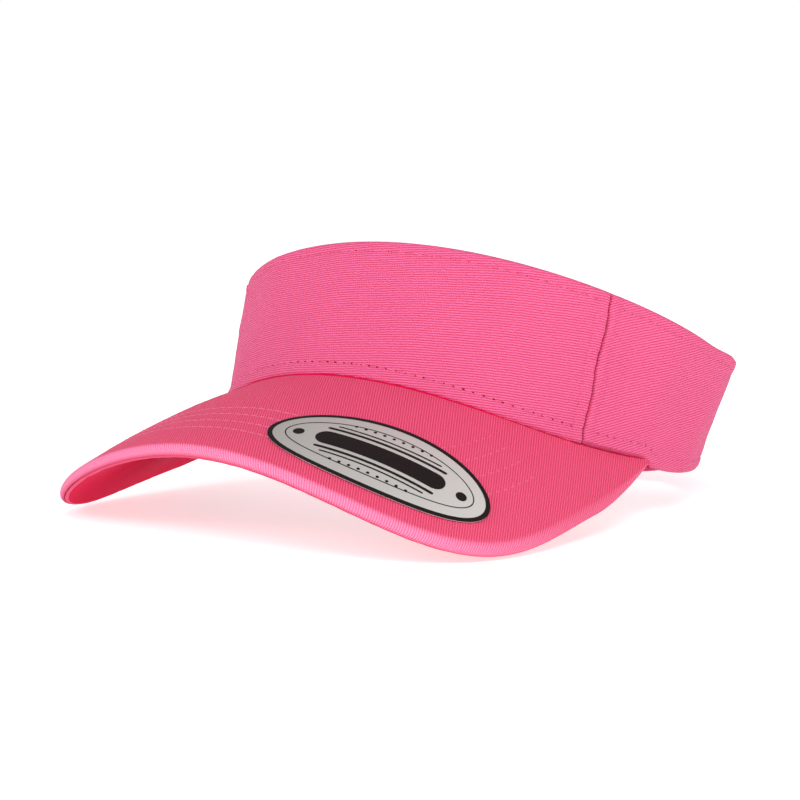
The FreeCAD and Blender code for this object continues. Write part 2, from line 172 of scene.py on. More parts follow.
def harmonics(angle, mean, once, twice):
    turn = np.radians(wrap(angle))
    return mean + once * np.cos(turn) + twice * np.cos(2.0 * turn)


BACK_CENTRE_Y = -FRONT_DEPTH * math.cos(math.radians(FLEX_ANGLE))
BACK_START = math.atan2(-BACK_CENTRE_Y, HALF_WIDTH)


def back_radius(turn):
    full = math.radians(BACK_ROUND_FROM) - BACK_START
    part = np.clip((turn - BACK_START) / full, 0.0, 1.0)
    side = math.hypot(HALF_WIDTH, BACK_CENTRE_Y)
    slope = side * math.tan(BACK_START - math.atan2(FRONT_TAPER * HALF_WIDTH, FRONT_DEPTH))
    from_side = 2.0 * part ** 3 - 3.0 * part ** 2 + 1.0
    from_slope = part ** 3 - 2.0 * part ** 2 + part
    return BACK_RADIUS + from_side * (side - BACK_RADIUS) + from_slope * slope * full


def plan(angle):
    """The band's outline at z = 0."""
    angle = wrap(angle)
    side = np.where(angle < 0.0, -1.0, 1.0)
    turn = np.radians(np.abs(angle))
    cosine = np.cos(turn)
    back = BACK_START + (turn / (np.pi / 2) - 1.0) * (np.pi / 2 - BACK_START)
    radius = back_radius(back)
    front = turn <= np.pi / 2
    x = np.where(front, HALF_WIDTH * np.sin(turn) * (1.0 + FRONT_TAPER * cosine), radius * np.cos(back))
    y = np.where(front, -FRONT_DEPTH * cosine, BACK_CENTRE_Y + radius * np.sin(back))
    return side * x, y


def outward(angle):
    step = 0.05
    x1, y1 = plan(np.asarray(angle) - step)
    x2, y2 = plan(np.asarray(angle) + step)
    length = np.hypot(x2 - x1, y2 - y1)
    return (y2 - y1) / length, -(x2 - x1) / length


def lean(angle):
    """How far the wall leans outward as it rises, in radians."""
    front = harmonics(angle, LEAN_MEAN, LEAN_ONCE, LEAN_TWICE)
    share = smooth(np.abs(wrap(angle)), *LEAN_BLEND)
    return np.radians(front + share * (LEAN_BACK - front))


def wall(angle, z, offset=0.0):
    """Points of the band; offset is outward from the cloth's outer face."""
    angle, z, offset = np.broadcast_arrays(np.asarray(angle, float), z, offset)
    x, y = plan(angle)
    nx, ny = outward(angle)
    out = z * np.tan(lean(angle)) + offset
    return np.stack([x + out * nx, y + out * ny, z], -1)


def wall_normal(angle, z):
    nx, ny = outward(angle)
    tilt = lean(angle)
    return np.stack([nx * np.cos(tilt), ny * np.cos(tilt), -np.sin(tilt) + 0.0 * z], -1)


def rim(angle):
    side = np.abs(wrap(angle))
    start, top, end = RIM_PEAK
    peak = smooth(side, start, top) - smooth(side, top, end)
    return harmonics(angle, RIM_MEAN, RIM_ONCE, RIM_TWICE) + RIM_PEAK_RISE * peak


BILL_START = wall(0.0, BILL_START_Z)
BILL_FORWARD = np.array([0.0, -math.cos(BILL_DROOP), -math.sin(BILL_DROOP)])
BILL_UP = np.array([0.0, -math.sin(BILL_DROOP), math.cos(BILL_DROOP)])
ACROSS = np.array([1.0, 0.0, 0.0])


def bill_drop(x, along):
    """How far the curved bill lies below the flat plane through its middle line's start."""
    radius = BILL_RADIUS_BACK + (BILL_RADIUS_FRONT - BILL_RADIUS_BACK) * along / BILL_LENGTH
    return radius - np.sqrt(radius * radius - x * x) + BILL_CROWN * (along / BILL_LENGTH) ** 2


def bill_surface(x, along):
    x, along = np.broadcast_arrays(np.asarray(x, float), along)
    drop = bill_drop(x, along)
    return (BILL_START + x[..., None] * ACROSS + along[..., None] * BILL_FORWARD
            - drop[..., None] * BILL_UP)


def bill_normal(x, along):
    step = 0.05
    across = bill_surface(x + step, along) - bill_surface(x - step, along)
    forward = bill_surface(x, along + step) - bill_surface(x, along - step)
    return unit(np.cross(forward, across))


def bill_point(x, along, offset=0.0):
    return bill_surface(x, along) + bill_normal(x, along) * np.asarray(offset)[..., None]


def seam_height(angle):
    """Height at which the band meets the bill's upper face."""
    angle = np.asarray(angle, float)

    def above(height):
        gap = wall(angle, height) - BILL_START
        return gap @ BILL_UP + bill_drop(gap[..., 0], gap @ BILL_FORWARD) > 0.0
    return halve(angle.shape, -40.0, 30.0, 40, above)


def seam_along(angle):
    gap = wall(angle, seam_height(angle)) - BILL_START
    return gap[..., 0], gap @ BILL_FORWARD


def bill_outline(direction, inset):
    """The bill's free edge, or a line inside it, by direction in degrees from straight ahead."""
    turn = np.radians(direction)
    across = np.abs(np.sin(turn)) / (BILL_HALF_WIDTH - inset)
    forward = np.abs(np.cos(turn)) / (BILL_LENGTH - BILL_WIDEST_AT - inset)
    radius = (across ** BILL_SQUARENESS + forward ** BILL_SQUARENESS) ** (-1.0 / BILL_SQUARENESS)
    return radius * np.sin(turn), BILL_WIDEST_AT + radius * np.cos(turn)


def bill_inset(x, along):
    """How far a place on the bill is from its free edge."""
    reach = np.maximum(np.asarray(along) - BILL_WIDEST_AT, 0.0)

    def outside(inset):
        across = np.abs(x) / (BILL_HALF_WIDTH - inset)
        forward = reach / (BILL_LENGTH - BILL_WIDEST_AT - inset)
        return ~(across ** BILL_SQUARENESS + forward ** BILL_SQUARENESS < 1.0)
    return halve(np.shape(x), -6.0, 84.0, 24, outside)


def closure_low():
    """Height of the closure's lower edge that stands level with the bill's side edges."""
    x, along = bill_outline(np.linspace(40.0, 90.0, 101), 0.0)
    points = bill_point(x, along, np.full(x.shape, -BILL_THICKNESS))
    lowest = (-points[:, 1] * math.sin(REST_PITCH) + points[:, 2] * math.cos(REST_PITCH)).min()
    back = BACK_CENTRE_Y + BACK_RADIUS
    return (lowest + back * math.sin(REST_PITCH)) / math.cos(REST_PITCH)


BILL_END_Z = float(seam_height(BILL_END))
CLOSURE_LOW = closure_low()


def band_low(angle):
    """Height of the band's lower edge."""
    turn = np.abs(wrap(angle))
    start = BILL_END_Z + BILL_SEAM_GAP
    along_seam = seam_height(np.minimum(turn, BILL_END)) + BILL_SEAM_GAP
    dip = CORNER_DIP * smooth(turn, CORNER_DIP_START, CORNER_DIP_END)
    return along_seam - dip + (CLOSURE_LOW - start + CORNER_DIP) * smooth(turn, BILL_END, CLOSURE_LEVEL)


ARC_ANGLES = np.linspace(-240.0, 240.0, 4801)
ARC_POINTS = wall(ARC_ANGLES, 15.0)[:, :2]
ARC_STEPS = np.linalg.norm(np.diff(ARC_POINTS, axis=0), axis=1)
ARC_LENGTHS = np.concatenate([[0.0], np.cumsum(ARC_STEPS)])
ARC_LENGTHS -= np.interp(0.0, ARC_ANGLES, ARC_LENGTHS)


def arc(angle):
    """Distance round the band from the middle of the forehead."""
    return np.interp(angle, ARC_ANGLES, ARC_LENGTHS)


def angle_at(distance):
    return np.interp(distance, ARC_LENGTHS, ARC_ANGLES)


SEAM_ARC = float(arc(SIDE_SEAM))


def past_seam(distance):
    """The angle at a distance behind the left side seam."""
    return float(angle_at(SEAM_ARC + distance))


def seam_distance(angle):
    return np.abs(arc(np.abs(wrap(angle))) - SEAM_ARC)


def pitched(points):
    """Band frame to the resting frame, still in millimetres and before the shift."""
    y, z = turned(points[..., 1], points[..., 2], -REST_PITCH)
    return np.stack([points[..., 0], y, z], -1)


FRONT_LOW, FRONT_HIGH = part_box("front_panel")
SHIFT = np.array([
    0.0,
    FRONT_LOW.y / MM - pitched(wall(0.0, band_low(0.0)))[1],
    FRONT_HIGH.z / MM - pitched(wall(0.0, rim(0.0)))[2],
])


def row_point(points):
    """Band frame in millimetres to the row frame in metres."""
    return (pitched(np.asarray(points, float)) + SHIFT) * MM


# ---------------------------------------------------------------- meshes
# A section is a closed loop of (z, offset) rows, with one row of points for each angle.
def add_object(name, data):
    obj = bpy.data.objects.new(name, data)
    bpy.context.scene.collection.objects.link(obj)
    return obj


def make_object(name, verts, faces, uv=None, smooth_faces=True):
    """A mesh in the row frame. uv holds one pair per face corner, in millimetres of cloth."""
    mesh = bpy.data.meshes.new(name)
    mesh.from_pydata(np.asarray(verts).tolist(), [], faces)
    if uv is not None:
        layer = mesh.uv_layers.new(name="cloth")
        layer.data.foreach_set("uv", np.asarray(uv, np.float32).ravel())
    mesh.polygons.foreach_set("use_smooth", [smooth_faces] * len(mesh.polygons))
    mesh.validate()
    mesh.update()
    return add_object(name, mesh)


def skin_parts(n, m, flip=False):
    """Faces of a closed skin of n loops of m points, by loop and point: its quads and its ends."""
    i, j = (index.reshape(-1, 1) for index in np.mgrid[0:n - 1, 0:m])
    ring = np.arange(m)[None, :]
    parts = [(i + [0, 1, 1, 0], j + [0, 0, 1, 1]), (0 * ring, ring), (0 * ring + n - 1, ring[:, ::-1])]
    if flip:
        parts = [(a[:, -np.arange(a.shape[1])], b[:, -np.arange(b.shape[1])]) for a, b in parts]
    return parts


def skin(name, loops, u, v, flip=False):
    """A closed skin through loops of points; u and v may have a last column, where it closes."""
    n, m = loops.shape[:2]
    faces, uv = [], []
    for i, j in skin_parts(n, m, flip):
        faces += (i * m + j % m).tolist()
        uv.append(np.stack([u[i, j % u.shape[1]], v[i, j % v.shape[1]]], -1).reshape(-1, 2))
    return make_object(name, row_point(loops.reshape(-1, 3)), faces, np.concatenate(uv))


def run_length(loops, start):
    """Distance along each loop from its first point, with the closing step as a last column."""
    closed = np.concatenate([loops, loops[:, :1]], axis=1)
    steps = np.linalg.norm(np.diff(closed, axis=1), axis=-1)
    zero = np.zeros((len(loops), 1))
    return np.concatenate([zero, np.cumsum(steps, axis=1)], axis=1) + start[:, None]


def seam_sway(angle, z):
    """How far, in degrees, the side seam and the cloth beside it stray from a straight line."""
    stray = 0.30 * np.sin(0.28 * z + 0.4) + 0.07 * np.sin(1.3 * z) + 0.04 * np.sin(2.9 * z + 1.0)
    return np.sign(angle) * stray * groove(seam_distance(angle), 2.4) / MM_PER_DEGREE


def band_piece(name, angles, section):
    """A piece of the band. section(angle column) gives (z, offset) rows of a closed loop."""
    column = angles[:, None]
    z, offset = section(column)
    place = column + seam_sway(column, z)
    loops = wall(place, z, offset)
    return skin(name, loops, arc(place), run_length(loops, z[:, 0]))


def join_rows(*parts):
    """Joins runs of (z, offset) into one closed section."""
    return tuple(np.concatenate(part, axis=1) for part in zip(*parts))


def turn_rows(z, offset, radius, start, end, count):
    """A round turn in the section, between two directions in degrees from outward."""
    phi = np.radians(np.linspace(start, end, count + 2)[1:-1])[None, :]
    return z + radius * np.sin(phi), offset + radius * np.cos(phi) + 0.0 * z


EDGE_LEVELS = np.array([0.0, 0.2, 0.4, 0.7, 1.1, 1.5, 1.9, 2.3, 2.7, 3.0, 3.2, 3.4, 3.6, 3.8,
                        4.0, 4.2, 4.4, 4.6, 4.9, 5.3, 5.8])


def levels(bottom, top, rows):
    """Heights up a panel, close together where the rows of stitching run near its edges."""
    if rows < 60:
        return bottom + (top - bottom) * np.linspace(0.0, 1.0, rows)[None, :]
    lower = bottom + EDGE_LEVELS[None, :]
    upper = top - EDGE_LEVELS[None, ::-1]
    first, last = lower[:, -1:], upper[:, :1]
    share = np.linspace(0.0, 1.0, rows - 2 * len(EDGE_LEVELS) + 2)[None, 1:-1]
    return np.concatenate([lower, first + (last - first) * share, upper], axis=1)


def constant(value):
    """An edge or a face that stays at one value."""
    return lambda angle: value + 0.0 * angle


def raised(edge, height):
    """An edge moved up by a height."""
    return lambda angle: edge(angle) + height


def slab(low, high, outer, thickness, rows, relief=None, inner_relief=None):
    """Section of a cloth slab with rounded edges. low, high and outer are functions."""
    radius = 0.5 * thickness

    def section(angle):
        bottom = low(angle) + radius
        top = high(angle) - radius
        face_z = levels(bottom, top, rows)
        face = outer(angle) + 0.0 * face_z
        back = face - thickness
        if relief is not None:
            face = face + relief(angle, face_z)
        if inner_relief is not None:
            back = back + inner_relief(angle, face_z)
        middle = outer(angle) - radius
        return join_rows(
            (face_z, face), turn_rows(top, middle, radius, 0.0, 180.0, 5),
            (face_z[:, ::-1], back[:, ::-1]), turn_rows(bottom, middle, radius, 180.0, 360.0, 5))
    return section


# ---------------------------------------------------------------- relief of the cloth
def waves(a, b, seed, size, count=7):
    """A gentle, fixed unevenness: a sum of sines in random directions, about -1 to 1."""
    rng = np.random.default_rng(seed)
    total = 0.0
    for _ in range(count):
        direction = rng.uniform(0.0, 2.0 * np.pi)
        length = size * rng.uniform(0.7, 1.9)
        phase = rng.uniform(0.0, 2.0 * np.pi)
        total = total + np.sin(2.0 * np.pi / length
                               * (a * np.cos(direction) + b * np.sin(direction)) + phase)
    return total / math.sqrt(count)


def puff(distance, width):
    """Cloth that swells between a seam or fold and its row of stitching."""
    return np.sin(np.pi * np.clip(distance / width, 0.0, 1.0)) ** 0.8


def groove(distance, width):
    return np.exp(-(distance / width) ** 2)


def flare(angle, from_low):
    """The cloth stands out a little over the bill's seam, most at the temples."""
    turn = np.abs(wrap(angle))
    reach = 0.35 + 1.15 * smooth(turn, 20.0, 52.0) * (1.0 - smooth(turn, 60.0, 76.0))
    return reach * np.exp(-np.maximum(from_low, 0.0) / 3.6)


def edge_relief(angle, z):
    """What the fold and the rows of stitching do to the band along its two edges."""
    from_rim = rim(angle) - z
    from_low = z - band_low(angle)
    above = 0.22 * puff(from_rim, RIM_ROW_DROP) - 0.16 * groove(from_rim - RIM_ROW_DROP, 0.5)
    below = 0.25 * puff(from_low, SEAM_ROW_RISE) - 0.18 * groove(from_low - SEAM_ROW_RISE, 0.5)
    return flare(angle, from_low) + above + below


def seam_relief(angle):
    """What a side seam and its stitching do to the cloth on each side of it."""
    distance = seam_distance(angle)
    return (0.45 * puff(distance, SIDE_ROW) - 0.80 * groove(distance, 0.33)
            - 0.32 * groove(distance - SIDE_ROW, 0.6))


def cloth_relief(angle, z):
    a = arc(angle)
    broad = 0.28 * waves(a, z, 3, 34.0) + 0.10 * waves(a, z, 5, 13.0)
    fine = 0.035 * waves(a, z, 8, 3.2)
    return broad + fine + edge_relief(angle, z) + seam_relief(angle)


def outer_relief(angle, z):
    """The cloth's relief with the small creases that the stitching draws in beside its rows."""
    near_rows = (groove(rim(angle) - z - RIM_ROW_DROP, PUCKER_WIDTH)
                 + groove(z - band_low(angle) - SEAM_ROW_RISE, PUCKER_WIDTH))
    return cloth_relief(angle, z) + 0.07 * np.sin(arc(angle) * 2.0 * np.pi / STITCH) * near_rows


# ---------------------------------------------------------------- materials
def linear(colour):
    """An sRGB colour as the linear one, with alpha, that a socket takes."""
    return tuple(c / 12.92 if c <= 0.04045 else ((c + 0.055) / 1.055) ** 2.4 for c in colour) + (1.0,)


def shade(colour, factor):
    return tuple(min(1.0, c * factor) for c in colour)


class Nodes:
    """Short names for building the node tree of a material or of the world."""

    def __init__(self, block, shader):
        block.use_nodes = True
        self.block = block
        self.tree = block.node_tree
        self.shader = self.tree.nodes[shader]

    def join(self, source, socket):
        """Links a socket to a value, or sets it to a number or an sRGB colour."""
        source = getattr(source, "socket", source)
        if hasattr(source, "links"):
            self.tree.links.new(source, socket)
        else:
            socket.default_value = linear(source) if socket.type == "RGBA" else source

    def fill(self, node, inputs):
        for key, source in inputs.items():
            self.join(source, node.inputs[key])

    def put(self, kind, inputs=(), **settings):
        """A new node, with its settings and what goes into its sockets."""
        node = self.tree.nodes.new(kind)
        for key, value in settings.items():
            setattr(node, key, value)
        self.fill(node, dict(inputs))
        return node

    def cloth(self):
        """The cloth map in millimetres, as a pair and as its two coordinates."""
        pair = self.put("ShaderNodeUVMap", uv_map="cloth").outputs[0]
        split = self.put("ShaderNodeSeparateXYZ", {0: pair})
        return pair, Value(self, split.outputs[0]), Value(self, split.outputs[1])

    def place(self):
        """The place on the object, in metres."""
        return self.put("ShaderNodeTexCoord").outputs["Object"]

    def noise(self, vector, scale, detail=2.0, roughness=0.5):
        inputs = {"Vector": vector, "Scale": scale, "Detail": detail, "Roughness": roughness}
        return Value(self, self.put("ShaderNodeTexNoise", inputs).outputs["Fac"])

    def ramp(self, value, start, end, low, high, **settings):
        """A number that goes from low to high as the value goes from start to end."""
        inputs = {"Value": value, "From Min": start, "From Max": end, "To Min": low, "To Max": high}
        return self.put("ShaderNodeMapRange", inputs, **settings).outputs[0]

    def mix(self, share, first, second, blend="MIX"):
        inputs = {0: share, 6: first, 7: second}
        return self.put("ShaderNodeMix", inputs, data_type="RGBA", blend_type=blend).outputs[2]

    def tones(self, share, colour, dark, light):
        return self.mix(share, shade(colour, dark), shade(colour, light))

    def finish(self, colour, height=None, distance=0.0, strength=1.0):
        """The material with its colour and, where a height is given, its bump."""
        self.fill(self.shader, {"Base Color": colour})
        if height is not None:
            inputs = {"Distance": distance, "Strength": strength, "Height": height}
            self.fill(self.shader, {"Normal": self.put("ShaderNodeBump", inputs).outputs[0]})
        return self.block


class Value:
    """A number in a node tree; arithmetic on it adds math nodes."""

    def __init__(self, nodes, socket):
        self.nodes = nodes
        self.socket = socket

    def math(self, operation, *others):
        inputs = enumerate((self,) + others)
        return Value(self.nodes, self.nodes.put("ShaderNodeMath", inputs, operation=operation).outputs[0])

    def __add__(self, other):
        return self.math("ADD", other)

    def __sub__(self, other):
        return self.math("SUBTRACT", other)

    def __mul__(self, other):
        return self.math("MULTIPLY", other)

    def __truediv__(self, other):
        return self.math("DIVIDE", other)

    def __pow__(self, other):
        return self.math("POWER", other)

    def sine(self):
        """A wave between -1 and 1 that repeats at every whole number."""
        return (self * (2.0 * math.pi)).math("SINE")

    def wave(self):
        """The same wave between 0 and 1."""
        return self.sine() * 0.5 + 0.5


def surface(name, roughness, sheen=0.0, sheen_roughness=0.5, specular=0.3):
    """The nodes of a new material."""
    n = Nodes(bpy.data.materials.new(name), "Principled BSDF")
    n.fill(n.shader, {"Roughness": roughness, "Sheen Weight": sheen,
                      "Sheen Roughness": sheen_roughness, "Specular IOR Level": specular})
    return n


TWILL_DARKENS = (0.20, 0.66, 0.50)
TWILL_LIGHTENS = (1.0, 1.22, 1.13)
FLOAT_LENGTH = 0.85
FLOAT_SHIFT = 0.37


def twill(name, colour, degrees, pitch=0.8, depth=0.00022, contrast=1.0, sheen=0.35, gloss=0.35, edge_highlight=0.0):
    """Cotton twill: slanting ribs of short floats, with slubs and slow changes of shade, and a painted
    highlight where the mesh marks one.
    """
    n = surface(name, 0.66, sheen, 0.45, gloss)
    n.fill(n.shader, {"Sheen Tint": shade(colour, 1.25)})
    pair, u, v = n.cloth()
    along, across = turned(u, v, -math.radians(degrees))
    wander = (n.noise(pair, 0.9) - 0.5) * 0.42
    rib = (across + wander) / pitch
    ridge = rib.wave() ** 0.7
    floats = (along / FLOAT_LENGTH + rib.math("FLOOR") * FLOAT_SHIFT).wave()
    slub = n.noise(pair, 2.3, 3.0, 0.65)
    fuzz = n.noise(pair, 7.0, 2.0, 0.7)
    dark = tuple(part * (1.0 - k * contrast) for part, k in zip(colour, TWILL_DARKENS))
    light = tuple(min(1.0, part * k) for part, k in zip(colour, TWILL_LIGHTENS))
    tone = ridge * 0.68 + floats * 0.12 + (slub - 0.45) * 0.60 + (fuzz - 0.42) * 0.80
    body = n.mix(tone, dark, light)
    # Painted highlight: a paler pink mixed in where the mesh marks the bill's free edge.
    if edge_highlight:
        highlight_share = Value(n, n.put("ShaderNodeAttribute", attribute_name="edge_highlight").outputs["Fac"])
        body = n.mix(highlight_share * edge_highlight * (tone + 0.35), body, EDGE_HIGHLIGHT_PINK)
    patch = n.mix((n.noise(pair, 0.045) - 0.35) * 0.5, (1.0, 1.0, 1.0), (0.955, 0.90, 0.925))
    body = n.mix(1.0, body, patch, "MULTIPLY")
    return n.finish(body, ridge * 0.75 + floats * 0.16 + fuzz * 0.22, depth, 0.9)


def plain_weave(name, colour, pitch=0.55, depth=0.00012):
    """Plain cloth: threads over and under one another."""
    n = surface(name, 0.9, 0.3, 0.5, 0.2)
    pair, u, v = n.cloth()
    weave = (u / pitch).sine() * (v / pitch).sine() * 0.5 + 0.5
    slub = n.noise(pair, 1.8, 3.0, 0.6)
    body = n.tones(weave * 0.55 + slub * 0.6, colour, 0.76, 1.04)
    return n.finish(body, weave + slub * 0.5, depth, 0.9)


def brushed(name, colour):
    """Soft brushed cotton of the sweatband: a fine nap with faint ribs."""
    n = surface(name, 0.95, 0.6, 0.6, 0.15)
    pair, u, _ = n.cloth()
    nap = n.noise(pair, 3.5, 4.0, 0.7)
    rib = (u / 0.9).wave()
    tone = nap * 0.7 + rib * 0.2 + n.noise(pair, 0.08) * 0.25
    return n.finish(n.tones(tone, colour, 0.78, 1.06), nap + rib * 0.4, 0.00016, 0.8)


def thread(name, colour):
    """Twisted polyester thread, a little brighter than the cloth."""
    n = surface(name, 0.55, 0.25, 0.4, 0.4)
    _, u, v = n.cloth()
    twist = ((u + v * 0.9) / 0.42).wave()
    return n.finish(n.tones(twist, colour, 0.78, 1.05), twist, 0.00006, 0.7)


def foil(name):
    """Satin silver film with a fine brushed grain, and a painted reflection that makes it a little paler
    towards one end.
    """
    n = surface(name, 0.40, 0.0, 0.5, 0.5)
    n.fill(n.shader, {"Metallic": 0.5})
    pair, u, _ = n.cloth()
    stretch = n.put("ShaderNodeMapping", {"Vector": pair, "Scale": (0.15, 6.0, 1.0)})
    grain = n.noise(stretch.outputs[0], 3.0, 3.0, 0.6)
    # u * 0.010 is a painted reflection: the film grows paler along its length.
    body = n.mix(grain * 0.5 + u * 0.010 + 0.15, (0.72, 0.70, 0.685), (0.93, 0.92, 0.90))
    return n.finish(body, grain, 0.00002, 0.35)


def pile(name, colour, hooks):
    """Hook-and-loop tape: rows of stiff hooks, or a tangle of soft loops."""
    n = surface(name, 0.6 if hooks else 0.95, 0.1 if hooks else 0.5, 0.5, 0.3)
    pair, u, v = n.cloth()
    height = n.noise(pair, 2.4, 5.0, 0.8)
    if hooks:
        height = (v / 1.3).sine() * (u / 1.3).sine() * 0.5 + 0.5 + height * 0.2
    return n.finish(n.tones(height, colour, 0.62, 1.08), height, 0.0005 if hooks else 0.00035)


def satin(name, colour):
    """Smooth woven label ribbon."""
    n = surface(name, 0.5, 0.3, 0.3, 0.4)
    line = (n.cloth()[2] / 0.35).wave()
    return n.finish(n.tones(line, colour, 0.93, 1.0), line, 0.00004, 0.5)


def grainy(name, roughness, specular, noise, dark, light, *bump):
    """A plain surface with a fine grain; noise is a scale, detail and roughness."""
    n = surface(name, roughness, 0.0, 0.5, specular)
    grain = n.noise(n.place(), *noise)
    return n.finish(n.mix(grain, dark, light), *((grain,) + bump if bump else ()))


def hidden_sheet(name, colour, roughness):
    """The board and the buckram that the cloth covers."""
    return grainy(name, roughness, 0.3, (700.0, 4.0, 0.6), shade(colour, 0.9), colour, 0.0001, 0.6)


MATERIALS = {
    "crown": twill("crown_twill", PINK, 4.0, sheen=0.10, gloss=0.22),
    "side": twill("side_twill", PINK, 27.0, sheen=0.10, gloss=0.22),
    "side_right": twill("side_twill_right", PINK, -27.0, sheen=0.10, gloss=0.22),
    # The bill's twill carries a painted highlight of strength 0.60 along its free edge.
    "bill": twill("bill_twill", PINK_BILL, 57.0, 0.78, 0.00024, 1.0, 0.25, 0.35, 0.60),
    # Painted shade: the underside's darker pink, also on the seam fold and the binding's seam line.
    "under": twill("under_twill", PINK_UNDER_SHADED, 57.0, 0.70, 0.00015, 0.6, 0.0, 0.06),
    # Painted light: the lower cover's lip in the bill's pink made a little lighter, not in the underside's
    # darker pink, as the roll faces the light.
    "lip": twill("lip_twill_lit", shade(PINK_BILL, 1.03), 57.0, 0.70, 0.00020, 0.5, 0.4),
    "lining": plain_weave("lining_weave", PINK_LINING),
    "tape": plain_weave("tape_weave", shade(PINK_LINING, 1.03), 0.9, 0.00018),
    "sweatband": brushed("sweatband_cotton", PINK_LINING),
    "thread": thread("sewing_thread", THREAD_PINK),
    "crown_thread": thread("crown_sewing_thread", PINK),
    "bill_thread": thread("bill_sewing_thread", THREAD_BILL),
    # Painted shade of the needle holes.
    "hole": grainy("needle_hole_shade", 1.0, 0.0, (3000.0,), shade(HOLE_SHADE, 0.7), shade(HOLE_SHADE, 1.3)),
    "foil": foil("silver_film"),
    "ink": grainy("black_print", 0.55, 0.15, (900.0, 3.0), (0.05, 0.035, 0.035), (0.12, 0.09, 0.09),
                  0.00001, 0.3),
    "hook": pile("hook_tape", PINK_BILL, True),
    "loop": pile("loop_tape", PINK, False),
    "label": satin("label_satin", (0.95, 0.94, 0.93)),
    "board": hidden_sheet("bill_board_plastic", (0.90, 0.90, 0.88), 0.4),
    "buckram": hidden_sheet("buckram_cloth", (0.92, 0.91, 0.87), 0.9),
}


def dress(obj, material, slot, *nodes):
    """Material, the slot, which is not used, and the CAD nodes that the piece stands for."""
    obj.data.materials.clear()
    obj.data.materials.append(MATERIALS[material])
    if nodes:
        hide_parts(*nodes)
    return obj


def lay(name, angles, section, *dressing):
    """A piece of the band with its material and the nodes it stands for."""
    return dress(band_piece(name, angles, section), *dressing)


# ---------------------------------------------------------------- stitches
STITCH_RINGS = 7
STITCH_SIDES = 6
SUNK = {"material": "crown_thread", "radius": 0.19, "lift": 0.05}


def resample(points, normals, pitch):
    """Points a stitch apart along a path, and the path as functions of distance."""
    steps = np.linalg.norm(np.diff(points, axis=0), axis=1)
    lengths = np.concatenate([[0.0], np.cumsum(steps)])
    count = max(1, int(round(lengths[-1] / pitch)))

    def at(distance):
        p = np.stack([np.interp(distance, lengths, points[:, k]) for k in range(3)], -1)
        q = np.stack([np.interp(distance, lengths, normals[:, k]) for k in range(3)], -1)
        return p, unit(q)
    return at, np.linspace(0.0, lengths[-1], count + 1)


def stitch_mesh(name, rows, radius=0.24, pitch=STITCH, lift=0.10, gap=0.24):
    """One object with every stitch of some rows; a row is (points, normals) in the band frame."""
    share = np.linspace(0.0, 1.0, STITCH_RINGS)
    rise = lift * (2.0 * np.sin(np.pi * share[:, None]) ** 0.6 - 1.0)
    swell = radius * (0.35 + 0.65 * np.sin(np.pi * share[:, None, None]) ** 0.5)
    around = np.linspace(0.0, 2.0 * np.pi, STITCH_SIDES, endpoint=False)[None, :, None]
    verts = []
    for points, normals in rows:
        at, holes = resample(points, normals, pitch)
        for start, end in zip(holes[:-1], holes[1:]):
            centre, normal = at(start + gap + (end - start - 2.0 * gap) * share)
            side = np.cross(normal, unit(np.gradient(centre, axis=0)))[:, None, :]
            centre = (centre + normal * rise)[:, None, :]
            over = 0.75 * normal[:, None, :]
            verts.append(centre + swell * (side * np.cos(around) + over * np.sin(around)))
    faces, uv = [], []
    for i, j in skin_parts(STITCH_RINGS, STITCH_SIDES):
        one = i * STITCH_SIDES + j % STITCH_SIDES
        for index in range(len(verts)):
            faces += (one + index * STITCH_RINGS * STITCH_SIDES).tolist()
        corner_uv = np.stack([pitch * share[i], 0.3 * j], -1).reshape(-1, 2)
        uv.append(np.tile(corner_uv, (len(verts), 1)))
    return make_object(name, row_point(np.reshape(verts, (-1, 3))), faces, np.concatenate(uv))


HOLE_SIDES = 8


def hole_mesh(name, rows, sizes):
    """The needle holes between the stitches of some rows, as shallow lens shapes in a dark colour: painted
    shade inside the holes.

    sizes are the half lengths of the rows' holes; the thread pulls them a little aslant.
    """
    verts, faces = [], []
    around = np.linspace(0.0, 2.0 * np.pi, HOLE_SIDES, endpoint=False)
    rng = np.random.default_rng(17)
    for (points, normals), size in zip(rows, sizes):
        at, holes = resample(points, normals, STITCH)
        holes = np.clip(holes + rng.uniform(-0.25, 0.25, len(holes)), holes.min(), holes.max())
        centre, normal = at(holes)
        tangent = unit(at(holes + 0.2)[0] - at(holes - 0.2)[0])
        for c, n, t, s in zip(centre, normal, tangent, np.cross(normal, tangent)):
            slant = rng.uniform(0.15, 0.75)
            length = size * rng.uniform(0.6, 1.15)
            long_way, short_way = turned(t, s, slant)
            ring = (c + n * 0.05 + np.outer(np.cos(around) * length, long_way)
                    + np.outer(np.sin(around) * 0.5 * length, short_way))
            base = len(verts)
            verts.extend(row_point(np.vstack([ring, c + n * 0.12, c - n * 0.25])))
            for j in range(HOLE_SIDES):
                k = (j + 1) % HOLE_SIDES
                faces.append((base + j, base + k, base + HOLE_SIDES))
                faces.append((base + k, base + j, base + HOLE_SIDES + 1))
    return make_object(name, verts, faces)


def sew(name, rows, *nodes, material="thread", **settings):
    """The stitches of some rows as a dressed piece."""
    return dress(stitch_mesh(name, rows, **settings), material, "thread", *nodes)


def pierce(name, rows, sizes):
    """The needle holes of some rows as a dressed piece, dark with painted shade."""
    return dress(hole_mesh(name, rows, sizes), "hole", "thread")


def row_on(angles, z, relief=None, offset=0.0, inside=False):
    """A row of stitching through places of the band; inside is the side next to the head."""
    out = offset + (relief(angles, z) if relief is not None else 0.0 * z)
    normals = wall_normal(angles, z)
    return wall(angles, z, out), -normals if inside else normals


def band_row(start, end, height, *face):
    """A row of stitching round the band; height is a function of the angle."""
    angles = np.linspace(start, end, max(8, int(abs(float(arc(end) - arc(start))) / 0.7)))
    return row_on(angles, height(angles), *face)


